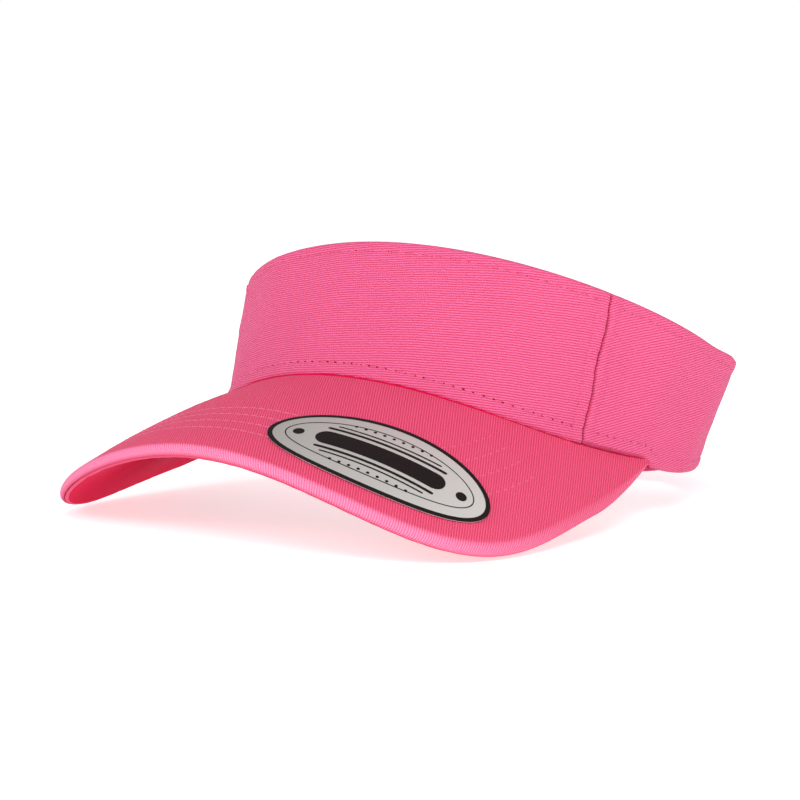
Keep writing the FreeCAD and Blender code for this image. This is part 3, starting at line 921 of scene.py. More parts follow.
def upright_row(angle, low, high, count, *face):
    """A row of stitching that climbs the band at one angle, between two heights."""
    z = np.linspace(float(low), float(high), count)
    return row_on(np.full(z.shape, float(angle)), z, *face)


rim_row_height = raised(rim, -RIM_ROW_DROP)
low_row_height = raised(band_low, SEAM_ROW_RISE)


def beside_seam(angle, relief):
    """The row of stitching that climbs the band beside a side seam, or near a panel's end."""
    return upright_row(angle, band_low(angle) + 5.0, rim(angle) - 4.6, 60, relief)


# ---------------------------------------------------------------- crown front
PLY = 0.6
HEM_DEPTH = 9.0
HEM_FACE = -1.85
LINING_FACE = -1.22
BACKING_FACE = -0.97
FRONT_HOLES = (0.26, 0.52, 0.24, 0.24)


def folded_section(angle):
    """The front panel: one ply up the outside, folded over the rim and down the inside."""
    radius = 0.5 * -HEM_FACE
    low = band_low(angle) - 0.35
    top = rim(angle) - radius
    hem = rim(angle) - HEM_DEPTH
    face_z = levels(low, top, 92)
    tuck_in = -0.8 * np.exp(-((face_z - low) / 0.5) ** 2)
    face = outer_relief(angle, face_z) + tuck_in
    inner = np.minimum(-PLY, face - 0.3)
    hem_z = top + (hem - top) * np.linspace(0.0, 1.0, 12)[None, :]
    wavy = 0.12 * np.sin(arc(angle) * 0.9) + 0.0 * hem_z
    back_z = hem_z[:, ::-1]
    return join_rows(
        (face_z, face),
        turn_rows(top, -radius, radius, 0.0, 180.0, 7),
        (hem_z, HEM_FACE + wavy),
        (back_z, HEM_FACE + PLY + 0.5 * wavy),
        turn_rows(top, -radius, radius - PLY, 180.0, 0.0, 5),
        (face_z[:, ::-1], inner[:, ::-1]))


def span(start, end, spacing):
    """Angles evenly spaced round the band, a given distance apart."""
    a, b = float(arc(start)), float(arc(end))
    return angle_at(np.linspace(a, b, int(round(abs(b - a) / spacing)) + 1))


def from_seam(sign, end, spacing=0.55):
    """Angles from a side seam to an end, closer together beside the seam."""
    reach = float(arc(end)) - SEAM_ARC
    near = np.array([0.13, 0.18, 0.26, 0.38, 0.55, 0.75, 1.0, 1.3, 1.7, 2.1])
    count = int(round((abs(reach) - near[-1]) / spacing)) + 1
    far = np.linspace(near[-1], abs(reach), count)[1:]
    return sign * angle_at(SEAM_ARC + np.sign(reach) * np.concatenate([near, far]))


def make_front():
    half = from_seam(1.0, 0.0)
    side, end = past_seam(-SIDE_ROW), past_seam(-SIDE_ROW - 1.0)
    lining = slab(raised(band_low, 0.2), raised(rim, -HEM_DEPTH - 0.1), constant(LINING_FACE), 0.5, 24,
                  None, lambda a, z: 0.06 * waves(arc(a), z, 31, 9.0))
    backing = slab(raised(band_low, 2.0), raised(rim, -2.4), constant(BACKING_FACE), 0.2, 20)
    rows = [band_row(-end, end, rim_row_height, outer_relief),
            band_row(-end, end, low_row_height, outer_relief),
            beside_seam(side, outer_relief), beside_seam(-side, outer_relief)]
    hem = [band_row(-end, end, rim_row_height, None, HEM_FACE, True)]
    pieces = [
        lay("front_panel_cloth", np.concatenate([-half, half[::-1][1:]]), folded_section,
            "crown", "crown_twill", "front_panel"),
        lay("front_lining_cloth", span(-SIDE_SEAM, SIDE_SEAM, 1.2), lining,
            "lining", "lining", "front_lining"),
        lay("front_backing_cloth", span(-SIDE_SEAM + 2.5, SIDE_SEAM - 2.5, 1.6), backing,
            "buckram", "buckram", "front_backing"),
        sew("front_stitches", rows, "front_stitching", **SUNK),
        pierce("front_needle_holes", rows, FRONT_HOLES),
        sew("front_hem_stitches", hem),
    ]
    for piece in pieces:
        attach(piece, "crown")


# ---------------------------------------------------------------- side panels
SIDE_THICKNESS = 1.9
FLEX_REACH = 4.0
LOW_ROW_END = 76.5
SIDE_HOLES = (0.26, 0.34, 0.32, 0.24)
TAPE_HALF = 3.6
TAPE_FACE = -2.0
FOLD_HALF = 0.45
FOLD_FACE = -0.66


def side_relief(angle, z):
    """Softer cloth than the front, a little baggy in the middle."""
    a = np.abs(arc(angle))
    from_rim = rim(angle) - z
    from_low = z - band_low(angle)
    slack = np.clip(np.minimum(from_rim, from_low) / 12.0, 0.0, 1.0)
    slack = slack * smooth(a, SEAM_ARC, float(arc(66.0)))
    diagonal = 0.25 * np.sin((a - 0.8 * z) * 2.0 * np.pi / 31.0 + 0.6) * slack
    swell = 1.3 * np.exp(-((a - float(arc(74.0)) + 0.25 * (z - 14.0)) / 8.5) ** 2) * slack
    hollow = -0.7 * np.exp(-((a - float(arc(64.5)) + 0.2 * (z - 14.0)) / 4.5) ** 2) * slack
    return outer_relief(angle, z) + diagonal + swell + hollow


def bend(angle, reach, height):
    """Where a piece starts and ends its bend, in the row frame."""
    return [tuple(row_point(wall(angle + step, height))) for step in (-reach, reach)]


def make_side(side, sign, end):
    start, stop = bend(sign * FLEX_ANGLE, sign * FLEX_REACH, 10.0)
    first = sign * past_seam(SIDE_ROW + 1.2)
    last = sign * float(angle_at(arc(end) - 2.0))
    panel = slab(raised(band_low, -0.1), rim, constant(0.0), SIDE_THICKNESS, 90, side_relief,
                 lambda a, z: 0.10 * waves(arc(a), z, 12, 17.0))
    rows = [band_row(first, last, rim_row_height, side_relief),
            band_row(first, sign * LOW_ROW_END, low_row_height, side_relief),
            beside_seam(sign * past_seam(SIDE_ROW), side_relief), beside_seam(last, side_relief)]
    inner = [band_row(first, last, height, None, -SIDE_THICKNESS, True)
             for height in (rim_row_height, low_row_height)]
    pieces = [
        lay(side + "_side_cloth", from_seam(sign, end, 0.6), panel,
            "side" if sign > 0 else "side_right", "crown_twill", side + "_temple_panel",
            side + "_side_panel", side + "_temple_lining", side + "_side_lining"),
        sew(side + "_side_stitches", rows, **SUNK),
        pierce(side + "_side_needle_holes", rows, SIDE_HOLES),
        sew(side + "_side_inner_stitches", inner),
    ]
    for piece in pieces:
        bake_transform(piece)


def make_tape(side, sign):
    """The tape over a side seam inside, with its two rows of stitching."""
    angles = sign * angle_at(SEAM_ARC + np.linspace(-TAPE_HALF, TAPE_HALF, 15))
    tape = slab(raised(band_low, 1.0), raised(rim, -1.6), constant(TAPE_FACE), 0.5, 40,
                None, lambda a, z: -0.1 * puff(TAPE_HALF - seam_distance(a), TAPE_HALF))
    rows = []
    for step in (-2.4, 2.4):
        angle = sign * past_seam(step)
        rows.append(upright_row(angle, band_low(angle) + 2.0, rim(angle) - 3.0, 60, None, -2.55, True))
    cloth = lay(side + "_seam_tape_cloth", angles, tape, "tape", "tape", side + "_seam_tape")
    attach(cloth, "crown")
    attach(sew(side + "_seam_tape_stitches", rows), "crown")


def make_seam_fold(side, sign):
    """The folded allowances of the cloth that show in the bottom of a side seam, in the underside's darker
    pink: painted shade along the seam line.
    """
    angles = sign * np.linspace(SIDE_SEAM - FOLD_HALF, SIDE_SEAM + FOLD_HALF, 7)
    section = slab(raised(band_low, 0.5), raised(rim, -0.25), constant(FOLD_FACE), 0.9, 40)
    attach(lay(side + "_seam_fold", angles, section, "under", "crown_twill"), "crown")


# ---------------------------------------------------------------- sweatband and label
SWEATBAND_FACE = -2.65
LABEL_FACE = -1.95
LABEL_LOW = SWEATBAND_HEIGHT + 1.6


def sweatband_section(angle):
    """A padded band: flat where it lies on the lining, swelling towards the forehead."""
    bottom = band_low(angle) + 0.9
    top = band_low(angle) + SWEATBAND_HEIGHT - 0.6
    share = np.linspace(0.0, 1.0, 34)[None, :]
    z = bottom + (top - bottom) * share
    end = smooth(SWEATBAND_END - np.abs(angle), 0.0, 4.0)
    swell = (0.75 + 1.1 * np.sin(np.pi * share) ** 0.55 * end
             - 0.35 * groove((1.0 - share) * SWEATBAND_HEIGHT - 4.0, 0.9)
             - 0.25 * groove(share * SWEATBAND_HEIGHT - 3.0, 0.9))
    creases = 0.11 * waves(arc(angle), 0.25 * z, 21, 6.5) * np.sin(np.pi * share) ** 0.5
    back = SWEATBAND_FACE - swell - creases * end
    radius = 0.37
    middle = SWEATBAND_FACE - radius
    return join_rows(
        (z, SWEATBAND_FACE + 0.0 * z), turn_rows(top, middle, radius, 0.0, 180.0, 5),
        (z[:, ::-1], back[:, ::-1]), turn_rows(bottom, middle, radius, 180.0, 360.0, 5))


def make_sweatband():
    band = lay("sweatband_padded", span(-SWEATBAND_END, SWEATBAND_END, 0.9), sweatband_section,
               "sweatband", "sweatband", "sweatband_cover", "sweatband_foam")
    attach(band, "crown")
    end = SWEATBAND_END - 2.0
    rows = [band_row(-end, end, raised(band_low, SWEATBAND_HEIGHT - 4.0), None, -3.75, True),
            band_row(-end, end, raised(band_low, 3.0), None, -3.85, True)]
    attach(sew("sweatband_stitches", rows), "crown")


def make_label():
    section = slab(raised(band_low, LABEL_LOW), raised(band_low, LABEL_LOW + 9.0), constant(LABEL_FACE),
                   0.35, 14, None, lambda a, z: -0.05 - 0.08 * np.sin(arc(a) * 0.5))
    label = lay("inner_label_cloth", span(-10.0, 10.0, 0.9), section, "label", "label", "inner_label")
    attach(label, "crown")
    rows = []
    for angle in (-9.3, 9.3):
        low = band_low(angle) + LABEL_LOW
        rows.append(upright_row(angle, low + 0.6, low + 8.4, 12, None, -2.42, True))
    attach(sew("inner_label_stitches", rows, radius=0.16, pitch=2.2), "crown")


# ---------------------------------------------------------------- closure
STRAP = 1.25
STRAP_SINK = 0.55
PEEL_REACH = 2.2
STITCH_INSET = 2.4
PATCH_MARGIN = 3.5


def rounded(edge, tip, corner_angle, corner):
    """An edge of a strap with a round corner at its tip; a negative corner turns down."""
    def height(angle):
        share = np.clip(1.0 - np.abs(tip - angle) / corner_angle, 0.0, 1.0)
        return edge(angle) + corner * (1.0 - np.sqrt(np.maximum(0.0, 1.0 - share * share)))
    return height


def strap_shape(start, tip):
    """Angles along a strap and its two edges, with round corners at the tip."""
    corner = 8.0
    corner_angle = math.degrees(corner / BACK_RADIUS) * 90.0 / (90.0 - math.degrees(BACK_START))
    sign = math.copysign(1.0, tip - start)
    body = np.linspace(start, tip - sign * corner_angle, int(abs(tip - start) / 0.7))
    turn = np.sin(np.radians(np.linspace(0.0, 88.0, 15)[1:]))
    angles = np.concatenate([body, tip - sign * corner_angle * (1.0 - turn)])
    return angles, rounded(band_low, tip, corner_angle, corner), rounded(rim, tip, corner_angle, -corner)


def strap_relief(angle, z):
    return 0.05 * waves(arc(angle), z, 44, 14.0) + 0.02 * waves(arc(angle), z, 45, 3.0)


def patch(low, high, outer, thickness, tufts):
    """Section of a strip of hook or loop tape with a nap that stands up in small tufts."""
    def nap(angle, z):
        return tufts * waves(arc(angle), z, 61, 1.6, 9)
    return slab(raised(low, PATCH_MARGIN), raised(high, -PATCH_MARGIN), constant(outer), thickness, 60,
                nap, nap)


def make_outer_strap():
    angles, low, high = strap_shape(ANCHOR_START - 4.0, STRAP_TIP)

    def face(angle):
        return -STRAP_SINK * (1.0 - smooth(angle, ANCHOR_START - 1.5, ANCHOR_START + 1.0))

    strap = lay("closure_strap_cloth", angles, slab(low, high, face, STRAP, 40, strap_relief),
                "side", "crown_twill", "strap_anchor", "closure_strap", "closure_strap_lining")
    start, end = bend(PEEL_ANGLE, PEEL_REACH, 15.0)
    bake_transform(strap)

    flap_low, flap_high = raised(low, STITCH_INSET), raised(high, -STITCH_INSET)
    first, last = PEEL_ANGLE + 3.0, STRAP_TIP - 1.5
    rows = [band_row(first, last, flap_low, strap_relief), band_row(first, last, flap_high, strap_relief),
            upright_row(last, flap_low(last), flap_high(last), 40, strap_relief)]
    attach(sew("closure_strap_stitches", rows), "strap_flap")
    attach(sew("strap_anchor_stitches", anchor_stitching(), pitch=2.4), "left_wing")
    hook = lay("hook_patch_tape", np.linspace(*HOOK_PATCH, 70), patch(low, high, -STRAP - 0.05, 0.75, 0.05),
               "hook", "hook", "hook_patch")
    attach(hook, "strap_flap")


def make_inner_strap():
    angles, low, high = strap_shape(LOOP_STRAP[0] + 4.0, LOOP_STRAP[1])

    def tuck(angle):
        return -TUCK_DEPTH * smooth(-angle, *TUCK)

    def face(angle):
        return tuck(angle) - STRAP_SINK * (1.0 - smooth(-angle, 131.0, 134.0))

    def relief(angle, z):
        return strap_relief(angle, z) + tuck(angle)

    rows = [band_row(-134.5, LOOP_STRAP[1] + 1.5, height, relief)
            for height in (raised(low, STITCH_INSET), raised(high, -STITCH_INSET))]
    pieces = [
        lay("loop_strap_cloth", angles, slab(low, high, face, STRAP, 40, strap_relief),
            "side_right", "crown_twill", "loop_strap"),
        sew("loop_strap_stitches", rows),
        lay("loop_pile_tape", np.linspace(*LOOP_PILE, 90),
            patch(low, high, -TUCK_DEPTH + 0.72, 0.68, 0.07), "loop", "loop", "loop_pile"),
    ]
    for piece in pieces:
        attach(piece, "right_wing")


def anchor_stitching():
    """A box with a cross in it, which holds the strap to the side panel."""
    a0, a1 = 124.5, 129.0
    z0, z1 = float(band_low(a0)) + 6.5, float(rim(a0)) - 6.5
    box = [(a0, z0), (a1, z0), (a1, z1), (a0, z1), (a0, z0), (a1, z1)]
    rows = []
    for (p, q), (r, s) in list(zip(box[:-1], box[1:])) + [((a1, z0), (a0, z1))]:
        rows.append(row_on(np.linspace(p, r, 20), np.linspace(q, s, 20), side_relief))
    return rows


# ---------------------------------------------------------------- bill
BILL_ARC = 0.5 * (BILL_RADIUS_BACK + BILL_RADIUS_FRONT)
EDGE_RADIUS = 0.5 * BILL_THICKNESS
TOP_EDGE_END = -22.0
UNDER_EDGE_START = -66.0
LIP_DIRECTION = math.radians(-51.0)
LIP_RADIUS = 0.60
LIP_DEPTH = 0.52
BILL_STITCH = 3.2
BILL_ROW_SINK = 0.15
# The binding's section: how far ahead of the sewn edge, how high, and the share of the thickness.
BINDING = (
    (0.34, -0.25, 0.0), (0.30, 0.10, 0.0), (0.05, 0.26, 0.0), (-0.45, 0.34, 0.0), (-0.75, 0.10, 0.0),
    (-0.78, 0.0, 0.5), (-0.78, -0.10, 1.0), (-0.45, -0.36, 1.0), (0.60, -0.38, 1.0),
    (1.60, -0.36, 1.0), (1.80, -0.15, 1.0), (1.60, 0.10, 1.0), (0.10, 0.25, 1.0))
BINDING_SINK = 0.32
# How strongly the painted highlight shows on each row round the free edge.
EDGE_HIGHLIGHT_ROWS = (0.2, 0.6, 0.8) + (1.0,) * 6 + (0.8, 0.5, 0.2, 0.0)


def bill_lines(inset):
    """Lines across the bill: seam angle, seam place and free-edge place, from right to left."""
    direction = np.linspace(-90.0, 90.0, 221)
    angle = direction / 90.0 * SEAM_AT_WIDEST
    last = BILL_END - 1.0
    end_x, end_along = seam_along(np.array(last))
    widest_x, widest_along = bill_outline(90.0, inset)
    share = np.linspace(0.0, 1.0, 25)[1:]
    side_angle = SEAM_AT_WIDEST + share * (last - SEAM_AT_WIDEST)
    side_x = widest_x + share ** BILL_CORNER_CURVE * (end_x + BILL_CORNER_WIDTH - widest_x)
    side_along = widest_along + share * (end_along - widest_along)
    angle = np.concatenate([-side_angle[::-1], angle, side_angle])
    edge_x, edge_along = bill_outline(direction, inset)
    edge_x = np.concatenate([-side_x[::-1], edge_x, side_x])
    edge_along = np.concatenate([side_along[::-1], edge_along, side_along])
    seam_x, seam_u = seam_along(angle)
    return angle, seam_x, seam_u, edge_x, edge_along


def bill_relief(x, along):
    """Soft unevenness, and the shallow valleys of the rows of stitching."""
    inset = bill_inset(x, along)
    total = 0.10 * waves(x, along, 71, 30.0) + 0.025 * waves(x, along, 72, 4.0)
    for row in BILL_ROWS_FROM_EDGE:
        total = total - 0.10 * groove(inset - row, 0.7)
    return total


def bill_press(angle):
    """The share of its thickness that the bill keeps where its corner is sewn in."""
    return 1.0 - BILL_CORNER_PRESS * smooth(np.abs(angle), SEAM_AT_WIDEST, BILL_END)


def bill_rows(shares, inset, offset, relief=0.0):
    """Rows of points across the bill's faces at shares of the way from the seam to the edge."""
    angle, seam_x, seam_u, edge_x, edge_u = bill_lines(inset)
    x = seam_x[:, None] + shares[None, :] * (edge_x - seam_x)[:, None]
    along = seam_u[:, None] + shares[None, :] * (edge_u - seam_u)[:, None]
    press = bill_press(angle)[:, None]
    calm = np.clip((1.0 - shares[None, :]) * 12.0, 0.0, 1.0) * np.clip(shares[None, :] * 25.0, 0.0, 1.0)
    rise = relief * bill_relief(x, along) * calm if relief else 0.0
    return bill_point(x, along, offset * press + rise * press), x, along


def stack_rows(rows):
    """Rows of (points, x, along), given one by one, as a group for bill_skin."""
    return tuple(np.stack(part, 1) for part in zip(*rows))


def bill_turn(radius, start, end, count, side=1.0):
    """Rows of points round the bill's edge, between two directions in degrees from outward.

    Their cloth places run on past the edge by the length of cloth that goes round it.
    """
    edge_x, edge_u = bill_lines(EDGE_RADIUS)[3:]
    tip_x, tip_u = bill_lines(0.0)[3:]
    rows = []
    for phi in np.radians(np.linspace(start, end, count)):
        run = 0.5 * math.pi - side * phi
        angle, _, _, x, along = bill_lines(EDGE_RADIUS - radius * math.cos(phi))
        offset = (-EDGE_RADIUS + radius * math.sin(phi)) * bill_press(angle)
        rows.append((bill_point(x, along, offset),
                     edge_x + run * (tip_x - edge_x), edge_u + run * (tip_u - edge_u)))
    return stack_rows(rows)


def bill_skin(name, *groups):
    """A closed skin of the bill from groups of rows that make one loop across it."""
    loops, x, along = (np.concatenate(part, axis=1) for part in zip(*groups))
    return skin(name, loops, BILL_ARC * np.arcsin(np.clip(x / BILL_ARC, -1.0, 1.0)), along, True)


def mark_edge_highlight(obj, first, values, columns):
    """Marks the rows of a bill skin that go round the free edge with a painted highlight, weaker towards
    the bill's sides.
    """
    row = np.zeros(columns)
    row[first:first + len(values)] = values
    angle = bill_lines(EDGE_RADIUS)[0]
    fade = 1.0 - 0.7 * smooth(np.abs(angle), 32.0, 60.0)
    marks = (fade[:, None] * row[None, :]).ravel()
    obj.data.attributes.new("edge_highlight", "FLOAT", "POINT").data.foreach_set("value", marks)


def bill_lip():
    """The folded edge of the lower cover, which shows as a soft roll below the upper cover."""
    rows = []
    centre = EDGE_RADIUS - LIP_DEPTH
    for phi in np.linspace(2.0 * math.pi, 0.0, 17)[:-1]:
        out = centre * math.cos(LIP_DIRECTION) + LIP_RADIUS * math.cos(phi)
        rise = centre * math.sin(LIP_DIRECTION) + LIP_RADIUS * math.sin(phi)
        angle, _, _, x, along = bill_lines(EDGE_RADIUS - out)
        uneven = 0.05 * waves(x, along, 73, 5.0)
        points = bill_point(x, along, (rise - EDGE_RADIUS) * bill_press(angle) + uneven)
        rows.append((points, x, along + 2.0 * math.sin(phi)))
    return bill_skin("bill_edge_lip", stack_rows(rows))


def bill_binding():
    """A strip of cloth round the bill's sewn edge, which hides the board from inside; it wears the
    underside's darker pink, painted shade where it shows in the seam line between bill and band.
    """
    angle, x, along, _, _ = bill_lines(EDGE_RADIUS)
    step_x, step_u = np.gradient(x), np.gradient(along)
    length = np.hypot(step_x, step_u)
    bottom = -BILL_THICKNESS * bill_press(angle) * (1.0 - 0.5 * smooth(np.abs(angle), 66.0, 76.0))
    sink = BINDING_SINK * smooth(np.abs(angle), 53.0, 57.5)
    rows = []
    for ahead, rise, share in BINDING:
        px, pu = x - ahead * step_u / length, along + ahead * step_x / length
        height = rise + share * bottom - (sink if share == 0.0 else 0.0)
        rows.append((bill_point(px, pu, height), px, pu + 3.0 * share))
    return bill_skin("bill_seam_binding", stack_rows(rows))


def bill_stitching():
    """The rows of stitching on the bill's upper and lower faces."""
    top_rows, under_rows = [], []
    seam_x, seam_u = seam_along(np.linspace(-70.0, 70.0, 141))
    for inset in BILL_ROWS_FROM_EDGE:
        x, along = bill_outline(np.linspace(-80.0, 80.0, 500), inset)
        keep = along > np.interp(x, seam_x, seam_u) + 3.0
        x, along = x[keep], along[keep]
        relief = bill_relief(x, along) - BILL_ROW_SINK * smooth(x, 12.0, 34.0)
        top_rows.append((bill_point(x, along, relief), bill_normal(x, along)))
        under_rows.append((bill_point(x, along, -BILL_THICKNESS - relief), -bill_normal(x, along)))
    return top_rows, under_rows


def make_bill():
    shares = np.linspace(0.0, 1.0, 92) ** 0.95
    top = bill_skin(
        "bill_top_cloth",
        bill_rows(shares, EDGE_RADIUS, 0.0, 1.0),
        bill_turn(EDGE_RADIUS, 82.0, TOP_EDGE_END, 12),
        bill_turn(EDGE_RADIUS - 0.9 * PLY, TOP_EDGE_END - 4.0, 82.0, 9),
        bill_rows(shares[::-6], EDGE_RADIUS, -PLY))
    # Painted highlight along the top cover's free edge.
    mark_edge_highlight(top, 91, EDGE_HIGHLIGHT_ROWS, 129)
    under = bill_skin(
        "bill_under_cloth",
        bill_rows(shares[::-1], EDGE_RADIUS + 0.4, -BILL_THICKNESS + PLY),
        bill_turn(EDGE_RADIUS - PLY, -86.0, UNDER_EDGE_START, 7, -1.0),
        bill_turn(EDGE_RADIUS, UNDER_EDGE_START + 3.0, -86.0, 9, -1.0),
        bill_rows(shares, EDGE_RADIUS + 0.4, -BILL_THICKNESS, -1.0))
    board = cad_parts["bill_board"]
    board.data.materials.clear()
    board.data.materials.append(MATERIALS["board"])
    top_rows, under_rows = bill_stitching()
    pieces = [
        dress(top, "bill", "bill_twill", "bill_top_cover"),
        # Painted shade: the lower cover and the binding wear the underside's darker pink.
        dress(under, "under", "under_twill", "bill_bottom_cover"),
        dress(bill_binding(), "under", "bill_twill"),
        dress(bill_lip(), "lip", "bill_twill"),
        sew("bill_stitches", top_rows, "bill_stitching", material="bill_thread",
            radius=0.19, pitch=BILL_STITCH, lift=0.08, gap=0.06),
        sew("bill_under_stitches", under_rows, pitch=BILL_STITCH, lift=0.09),
    ]
    for piece in pieces:
        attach(piece, "crown")


# ---------------------------------------------------------------- sticker
def sticker_place(long_way, short_way):
    """A place on the flat sticker to a place on the bill."""
    across, along = turned(long_way, short_way, STICKER_TURN)
    return BILL_ARC * np.sin((STICKER_CENTRE[0] + across) / BILL_ARC), STICKER_CENTRE[1] + along


def film(name, grids, low, thickness, smooth_faces=True):
    """Thin films on the bill in one piece, each closed all round, from grids of flat places."""
    verts, faces, uv = [], [], []
    base = 0
    for grid in grids:
        n, m = grid.shape[:2]
        half = n * m
        x, along = sticker_place(grid[..., 0], grid[..., 1])
        for height in (low + thickness, low):
            verts.append(row_point(bill_point(x, along, np.full(x.shape, height)).reshape(-1, 3)))
        index = np.arange(half).reshape(n, m)
        quads = [index[:-1, :-1], index[:-1, 1:], index[1:, 1:], index[1:, :-1]]
        quads = np.stack(quads, -1).reshape(-1, 4)
        ring = np.concatenate([index[0], index[1:, -1], index[-1, -2::-1], index[-2:0:-1, 0]])
        after = np.roll(ring, -1)
        edge = np.stack([after, ring, half + ring, half + after], 1)
        here = np.concatenate([quads, half + quads[:, ::-1], edge])
        faces += (base + here).tolist()
        uv.append(grid.reshape(-1, 2)[here.ravel() % half])
        base += 2 * half
    return make_object(name, np.concatenate(verts), faces, np.concatenate(uv), smooth_faces)


def across_grid(long_way, reach, columns):
    """Places in lines across a mark's long way, each line with its own reach to both sides."""
    share = np.linspace(-1.0, 1.0, columns)[None, :]
    return np.stack([long_way[:, None] + 0.0 * share, reach[:, None] * share], -1)


def oval_grid(half_long, half_short):
    long_way = half_long * np.sin(np.radians(np.linspace(-88.5, 88.5, 61)))
    return across_grid(long_way, half_short * np.sqrt(1.0 - (long_way / half_long) ** 2), 25)


def ring_grid(half_long, half_short, width, start, end):
    """Places along part of an oval rim of a given width."""
    turn = np.radians(np.linspace(start, end, 97))
    columns = np.linspace(0.0, 1.0, 4)[None, :] * width
    return np.stack([(half_long - columns) * np.cos(turn)[:, None],
                     (half_short - columns) * np.sin(turn)[:, None]], -1)


def bar_grid(centre, half_long, half_short, rows=25):
    """A bar with round ends, along the sticker's long way."""
    long_way = half_long * np.sin(np.radians(np.linspace(-88.0, 88.0, rows)))
    from_end = half_long - np.abs(long_way)
    over = np.clip(half_short - from_end, 0.0, half_short)
    reach = np.sqrt(np.maximum(half_short ** 2 - over ** 2, 0.0))
    return np.array(centre) + across_grid(long_way, reach, 5)


# The sticker's print, in millimetres: rim lines as (inset, width), stripes as (distance from the
# middle, half length, half width), dots as (distance from the middle, spacing, radius).
RIM_LINES = ((0.0, 1.5), (5.2, 0.35))
PILL = (20.5, 3.4)
STRIPES = ((5.3, 19.0, 0.5), (7.2, 16.5, 0.28))
END_DOT_AT, END_DOT_RADIUS = 26.0, 1.7
DOT_ROW_AT, DOT_SPACING, DOT_RADIUS = 9.7, 3.0, 0.5
FILM_THICKNESS = 0.16
PRINT_THICKNESS = 0.05


def make_sticker():
    """A silver film with a printed rim, a pill shape, stripes and dots; no lettering."""
    oval = film("sticker_film", [oval_grid(*STICKER_HALF)], STICKER_LIFT, FILM_THICKNESS)
    dress(oval, "foil", "foil", "sticker_foil")
    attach(oval, "crown")

    half_long, half_short = STICKER_HALF
    marks = []
    for start in (0.0, 180.0):
        for inset, width in RIM_LINES:
            marks.append(ring_grid(half_long - inset, half_short - inset, width, start, start + 180.0))
    marks.append(bar_grid((0.0, 0.0), *PILL))
    for side in (-1.0, 1.0):
        for away, length, width in STRIPES:
            marks.append(bar_grid((0.0, side * away), length, width))
        marks.append(bar_grid((side * END_DOT_AT, 0.0), END_DOT_RADIUS, END_DOT_RADIUS, 17))
        for index in range(-4, 5):
            place = (index * DOT_SPACING, side * DOT_ROW_AT)
            marks.append(bar_grid(place, DOT_RADIUS, DOT_RADIUS, 9))
    above_film = STICKER_LIFT + FILM_THICKNESS + 0.01
    print_marks = film("sticker_marks", marks, above_film, PRINT_THICKNESS, False)
    dress(print_marks, "ink", "print", "sticker_print")
    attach(print_marks, "crown")


# ---------------------------------------------------------------- floor, light and camera
CAMERA_AZIMUTH = math.radians(36.56)
CAMERA_ELEVATION = math.radians(4.57)
CAMERA_TIP = math.radians(-0.25)
CAMERA_DISTANCE = 595.2
CAMERA_TARGET = np.array([0.0, -30.0, 20.0])
CAMERA_LENS = 79.85
CAMERA_SHIFT = (-0.0235, -0.0246)
FLOOR_REACH = 12.0
LIGHT_TARGET = Vector((0.0, 0.0, 0.03))


def area_light(name, place, size, power):
    light = bpy.data.lights.new(name, "AREA")
    light.shape = "DISK"
    light.size = size
    light.energy = power
    obj = add_object(name, light)
    obj.location = place
    obj.rotation_euler = (LIGHT_TARGET - Vector(place)).to_track_quat("-Z", "Y").to_euler()


def make_world():
    """White studio walls all round, dimmer towards the ceiling."""
    n = Nodes(bpy.data.worlds.new("studio"), "Background")
    ways = n.put("ShaderNodeTexCoord").outputs["Generated"]
    rise = n.put("ShaderNodeSeparateXYZ", {0: ways}).outputs["Z"]
    n.fill(n.shader, {"Color": (1.0, 1.0, 1.0), "Strength": n.ramp(rise, 0.17, 0.42, 1.02, 0.38)})
    bpy.context.scene.world = n.block


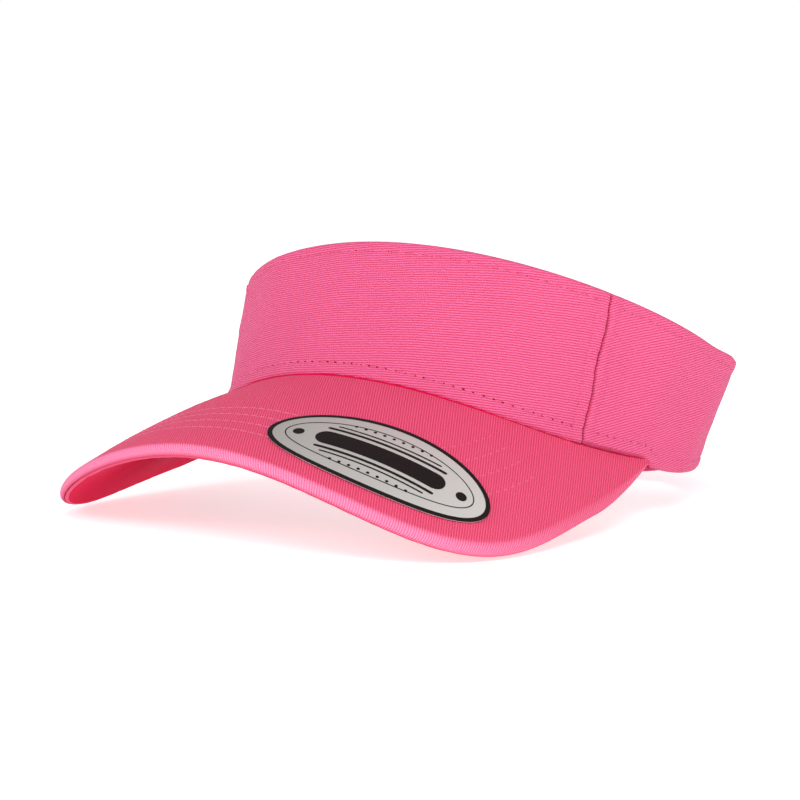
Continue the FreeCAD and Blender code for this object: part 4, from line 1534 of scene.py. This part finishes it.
def make_stage():
    """A wide pale floor that meets the white walls far away."""
    corners = ((-1.0, -1.0), (1.0, -1.0), (1.0, 1.0), (-1.0, 1.0))
    verts = [(x * FLOOR_REACH, y * FLOOR_REACH, 0.0) for x, y in corners]
    floor = make_object("studio_floor", verts, [(0, 1, 2, 3)], smooth_faces=False)
    n = surface("studio_paper", 0.9, 0.0, 0.5, 0.1)
    distance = n.put("ShaderNodeVectorMath", {0: n.place()}, operation="LENGTH").outputs["Value"]
    glow = n.ramp(distance, 0.12, 0.8, 0.58, 0.85, interpolation_type="SMOOTHSTEP")
    n.fill(n.shader, {"Emission Color": (1.0, 1.0, 1.0), "Emission Strength": glow})
    grain = n.noise(n.place(), 40.0)
    floor.data.materials.append(n.finish(n.mix(grain, (0.90, 0.90, 0.90), (0.92, 0.92, 0.92))))

    bpy.context.scene.view_settings.view_transform = "Standard"
    area_light("key", (0.55, -0.66, 0.80), 0.55, 6.6)
    area_light("fill", (-0.36, -0.99, 0.62), 0.45, 3.6)
    area_light("side", (1.05, 0.26, 0.45), 0.35, 1.6)


def tipped(vector):
    """A direction or place turned about the X axis by the camera's tip."""
    return np.array([vector[0], *turned(vector[1], vector[2], CAMERA_TIP)])


def make_camera():
    data = bpy.data.cameras.new("camera")
    data.sensor_width = 36.0
    data.lens = CAMERA_LENS
    data.shift_x, data.shift_y = CAMERA_SHIFT
    data.clip_start = 0.01
    data.clip_end = 50.0
    camera = add_object("camera", data)
    a, e = CAMERA_AZIMUTH, CAMERA_ELEVATION
    back = tipped((math.sin(a) * math.cos(e), -math.cos(a) * math.cos(e), math.sin(e)))
    right = tipped((math.cos(a), math.sin(a), 0.0))
    up = np.cross(back, right)
    place = (tipped(CAMERA_TARGET) + CAMERA_DISTANCE * back + SHIFT) * MM
    turn = Matrix((tuple(right), tuple(up), tuple(back))).transposed()
    camera.matrix_world = Matrix.Translation(Vector(place)) @ turn.to_4x4()
    bpy.context.scene.camera = camera


make_camera()
make_world()
make_stage()
make_front()
make_side("left", 1.0, ANCHOR_START - 0.3)
make_side("right", -1.0, -LOOP_STRAP[0] - 0.3)
make_tape("left", 1.0)
make_tape("right", -1.0)
make_seam_fold("left", 1.0)
make_seam_fold("right", -1.0)
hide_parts("temple_stitching")
make_sweatband()
make_label()
make_outer_strap()
make_inner_strap()
make_bill()
make_sticker()
